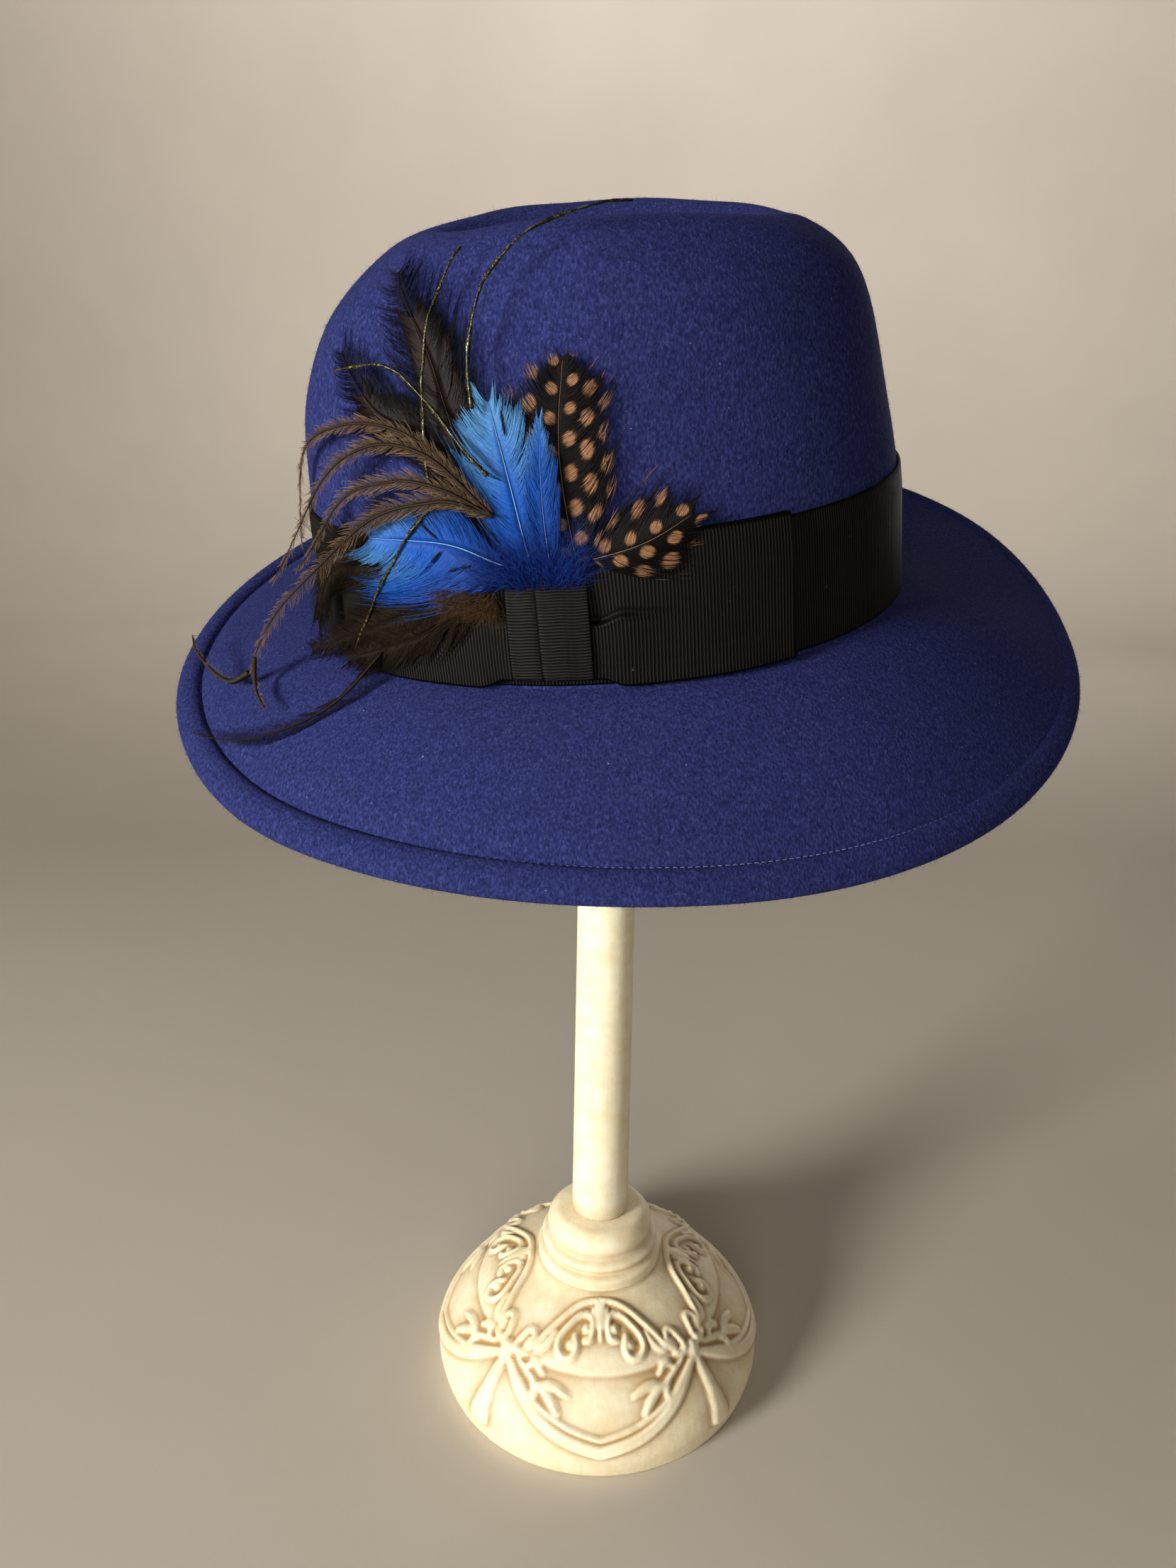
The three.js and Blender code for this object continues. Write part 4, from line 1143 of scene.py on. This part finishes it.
# Beads by degrees, level, radius and height
BEADS = (
    (37.0, 7.08, 1.9, 2.2), (30.0, 6.52, 1.8, 2.1), (0, 5.58, 3.3, 2.8), (4.2, 5.75, 2.0, 2.3),
    (8.7, 6.2, 1.3, 1.8),
)
# Step round the foot over the knots: level, rise, reach of its edge and of its fall
STEP_LEVEL, STEP_RISE, STEP_EDGE, STEP_FALL = 5.68, 1.1, 0.14, 2.2


def stroke_form(kind, off):
    """Height of a stroke from its middle (0) to its side (1): a round cord, flat ribbon or veined leaf."""
    if kind == "ribbon":
        return smoothstep((1.05 - off) / 0.35) * (0.6 + 0.4 * np.clip(off, 0, 1) ** 2)
    dome = np.sqrt(np.clip(1 - off ** 2, 0, 1))
    return dome * (0.75 + 0.25 * smoothstep(off * 3)) if kind == "leaf" else dome


def ornament(columns, levels):
    """Height of the raised ornament over one sector, as (levels, columns)."""
    degrees = (np.arange(columns) / columns * SECTOR)[None, :]
    fine = np.linspace(0, COLLAR_FOOT, 600)
    climb = run_of(smooth(BASE_RADIUS, fine), smooth(BASE_Z, fine))[:, 0]
    per_degree = np.radians(smooth(BASE_RADIUS, levels))[:, None]
    height = np.zeros((len(levels), columns))

    def climb_to(level):
        return np.interp(level, fine, climb)

    def offset(angle, level):
        gap = (degrees - angle + SECTOR / 2) % SECTOR - SECTOR / 2
        return gap * per_degree, climb_to(levels)[:, None] - climb_to(level)

    for points, start, end, rise, kind in STROKES:
        shares = np.linspace(0, 1, STROKE_SEGMENTS + 1)
        width = start + (end - start) * shares
        if kind == "leaf":
            width = width * (0.25 + 0.75 * np.sin(np.pi * np.clip(shares * 0.9 + 0.05, 0, 1)))
        angle, level = spline(points, shares).T
        for turned in (angle, SECTOR - angle):
            off = np.full(height.shape, np.inf)
            for k, half in enumerate(width[:-1]):
                x, y = offset(turned[k], level[k])
                run_x = (turned[k + 1] - turned[k]) * per_degree
                run_y = climb_to(level[k + 1]) - climb_to(level[k])
                along = np.clip((x * run_x + y * run_y) / (run_x ** 2 + run_y ** 2), 0, 1)
                off = np.minimum(off, np.hypot(x - along * run_x, y - along * run_y) / half)
            height = np.maximum(height, rise * stroke_form(kind, off))
    for angle, level, radius, rise in BEADS:
        for place in (angle, SECTOR - angle):
            off = np.hypot(*offset(place, level)) / radius
            height = np.maximum(height, rise * stroke_form("bead", off))
    step_up = smoothstep((levels - STEP_LEVEL + STEP_EDGE / 2) / STEP_EDGE)
    step = step_up * (1 - smoothstep((levels - STEP_LEVEL) / STEP_FALL))
    return height + STEP_RISE * step[:, None]


def spread(values, reach):
    """Mean over a square window, endless round the base."""
    total = sum(np.roll(values, k, 1) for k in range(-reach, reach + 1)) / (2 * reach + 1)
    padded = np.pad(total, ((reach, reach), (0, 0)), "edge")
    return sum(padded[k:k + len(values)] for k in range(2 * reach + 1)) / (2 * reach + 1)


BASE_COLUMNS = 118
BASE_LEVELS = np.concatenate([
    np.linspace(0, 1.5, 6)[:-1], np.linspace(1.5, 8.4, 106), np.linspace(8.4, COLLAR_FOOT, 5)[1:],
])
# Wash beside the relief by reach and gain, and painted shade under the collar by share, first level and reach
WASHES = ((3, 1.3), (10, 0.7))
COLLAR_SHADE, SHADE_FROM, SHADE_REACH = 0.5, 8.3, 0.6
COLLAR_WASH = 0.35


def base_cast():
    """Cast foot with its ornament, the wash that gathers beside the relief, and painted shade under the
    collar.
    """
    relief = spread(np.tile(ornament(BASE_COLUMNS, BASE_LEVELS), (1, REPEATS)), 1)
    around = np.radians(FIRST_KNOT + np.arange(BASE_COLUMNS * REPEATS) / BASE_COLUMNS * SECTOR)
    grid = off_face(base_point, around, BASE_LEVELS[:, None], relief)
    grid[0, :, 2] = 0
    wash = np.clip(sum((spread(relief, reach) - relief) * gain for reach, gain in WASHES), 0, 1)
    shade = COLLAR_SHADE * smoothstep((BASE_LEVELS - SHADE_FROM) / SHADE_REACH)
    return grid, np.clip(wash + shade[:, None], 0, 1)


def running_mean(values, window):
    return np.convolve(values, np.ones(window) / window, "same")


def base_collar():
    """Turned collar over the foot, with wash where it is waisted."""
    levels = np.linspace(COLLAR_FOOT, len(BASE) - 1, 50)
    radius = smooth(BASE_RADIUS, levels)
    waisted = radius < running_mean(radius, 11)
    wash = running_mean(waisted.astype(float), 3) * COLLAR_WASH
    return base_point(full_turn(96), levels[:, None]), wash[:, None]


# Block inside the crown: depth under the dent's floor, clearance to the felt, and its foot's share of its rim
TOP_DEPTH = 16.0
TOP_GAP = 0.7
TOP_FOOT = 0.62


def top_block():
    """Rings of the block, whose top follows the underside of the dent and whose foot is level."""
    levels = np.linspace(DENT_FLOOR, DENT_SLOPE, 12)[:, None]
    under = from_hat(off_face(crown_point, full_turn(48), levels, -FELT - TOP_GAP))
    lowest = under[0, :, 2].min() - TOP_DEPTH
    rim = under[-1] - UP * TOP_DEPTH / 2
    foot = rim * (TOP_FOOT, TOP_FOOT, 0) + UP * lowest
    sides = rim + (foot - rim) * np.linspace(0, 1, 8)[:, None, None]
    return np.concatenate([under, sides])


# Pole: its radii, foot, chamfer, and the share of its length that has wash
POLE_BOTTOM, POLE_TOP = 12.4, 10.6
POLE_FOOT = 80.3
POLE_CHAMFER = 0.4
POLE_WASH = 0.03


def pole_turned(top):
    """Tapered pole from the collar up to a height, with wash at its foot."""
    shares = np.concatenate([[0], np.linspace(0.004, POLE_WASH, 5), np.linspace(0.1, 0.996, 12), [1]])
    radius = POLE_BOTTOM + (POLE_TOP - POLE_BOTTOM) * shares - POLE_CHAMFER * np.isin(shares, (0, 1))
    z = POLE_FOOT + (top - POLE_FOOT) * shares
    wash = smoothstep(1 - shares / POLE_WASH)
    return turned_point(full_turn(80), radius[:, None], z[:, None]), wash[:, None]


def stand_piece(name, look, nodes, grid, wash):
    wash = np.broadcast_to(wash, grid.shape[:2])
    piece(name, skin(grid), look, "cream_stand", nodes, in_hat=False, wash=capped(wash))


cream = cream_look("cream_cast", srgb(244, 228, 189), srgb(253, 244, 215), 0.9)
stand_piece("base_cast", cream, ["stand_base"], *base_cast())
stand_piece("base_collar", cream, [], *base_collar())
top_grid = top_block()
plain_cream = cream_look("cream_plain", srgb(243, 232, 196), srgb(251, 245, 220), 0.4)
stand_piece("pole_turned", plain_cream, ["stand_pole"], *pole_turned(top_grid[-1, 0, 2] - GAP))
stand_piece("top_block", plain_cream, ["stand_top"], top_grid, 0)

# Floor, light and camera, in metres apart from the camera's place

# Radius of the flat floor, radius of its cove and height of the wall
FLOOR_FLAT, COVE, WALL = 1.7, 0.9, 3.2


def floor_sweep():
    """Flat floor that turns up into a plain round wall."""
    bend = np.linspace(0, np.pi / 2, 13)
    radii = np.concatenate([[0.02, 0.5, 1.1], FLOOR_FLAT + COVE * np.sin(bend), [FLOOR_FLAT + COVE]])
    heights = np.concatenate([[0, 0, 0], COVE * (1 - np.cos(bend)), [WALL]])
    grid = turned_point(full_turn(96), radii[:, None], heights[:, None])
    index = np.arange(grid[..., 0].size).reshape(grid.shape[:2])
    look = Look("floor_pale", roughness=0.7, specular_ior_level=0.25)
    tone = look.ramp(look.noise(400.0), (0.3, srgb(190, 182, 170)), (0.7, srgb(196, 188, 176)))
    pale = look.done(tone, 0.2, look.noise(3.0, 4.0), 0.2)
    faces = quads_over(index).tolist() + [index[0].tolist()]
    mesh_object("floor", grid.reshape(-1, 3), faces, pale)


WARM = (1.0, 0.97, 0.93)
# Name, place, aim, width, watts, colour, and spread in degrees
LIGHTS = (
    ("key", (-1.45, -1.23, 0.7), (0, 0, 0.3), 0.6, 15.5, (1.0, 0.97, 0.91), 100),
    ("fill", (-0.2, -1.75, 0.75), (0, 0, 0.3), 0.8, 7.8, WARM, 180),
    ("top", (-0.9, -0.1, 2.0), (0, 0, 0.4), 0.8, 3, WARM, 180),
    ("back", (0.95, 1.5, 0.45), (0, 0, 0.4), 0.8, 0.6, WARM, 50),
    ("wall", (0.0, 1.2, 1.7), (0, 2.6, 1.2), 1.2, 27, (1.0, 0.96, 0.93), 180),
)


def area_light(name, place, aim, size, watts, colour, spread_degrees):
    data = bpy.data.lights.new(name, "AREA")
    data.shape = "DISK"
    data.size = size
    data.energy = watts
    data.spread = math.radians(spread_degrees)
    data.color = colour
    light = scene_object(name, data)
    light.location = place
    light.rotation_euler = (Vector(aim) - Vector(place)).to_track_quat("-Z", "Y").to_euler()
    light.visible_camera = False


floor_sweep()
for light in LIGHTS:
    area_light(*light)

world = bpy.data.worlds.new("studio")
world.use_nodes = True
sky = world.node_tree.nodes["Background"].inputs
sky["Color"].default_value = srgb(196, 186, 174)
sky["Strength"].default_value = 0.03
bpy.context.scene.world = world
bpy.context.scene.view_settings.view_transform = "Standard"

# Camera: place in millimetres, angles in degrees, and focal length for a frame of that height
CAMERA_PLACE = (-8.189, -432.0, 440.87)
CAMERA_PITCH, CAMERA_ROLL = 20.274, 0.862
FOCAL_PIXELS, FRAME_PIXELS = 1662, 2212
SENSOR = 36.0

camera_data = bpy.data.cameras.new("camera")
camera_data.sensor_width = SENSOR
camera_data.lens = FOCAL_PIXELS * SENSOR / FRAME_PIXELS
camera_data.clip_start = 0.01
camera = scene_object("camera", camera_data)
pitched = Matrix.Rotation(math.radians(90 - CAMERA_PITCH), 4, "X")
rolled = Matrix.Rotation(math.radians(CAMERA_ROLL), 4, "Z")
camera.matrix_world = Matrix.Translation(Vector(CAMERA_PLACE) * MM) @ pitched @ rolled
bpy.context.scene.camera = camera
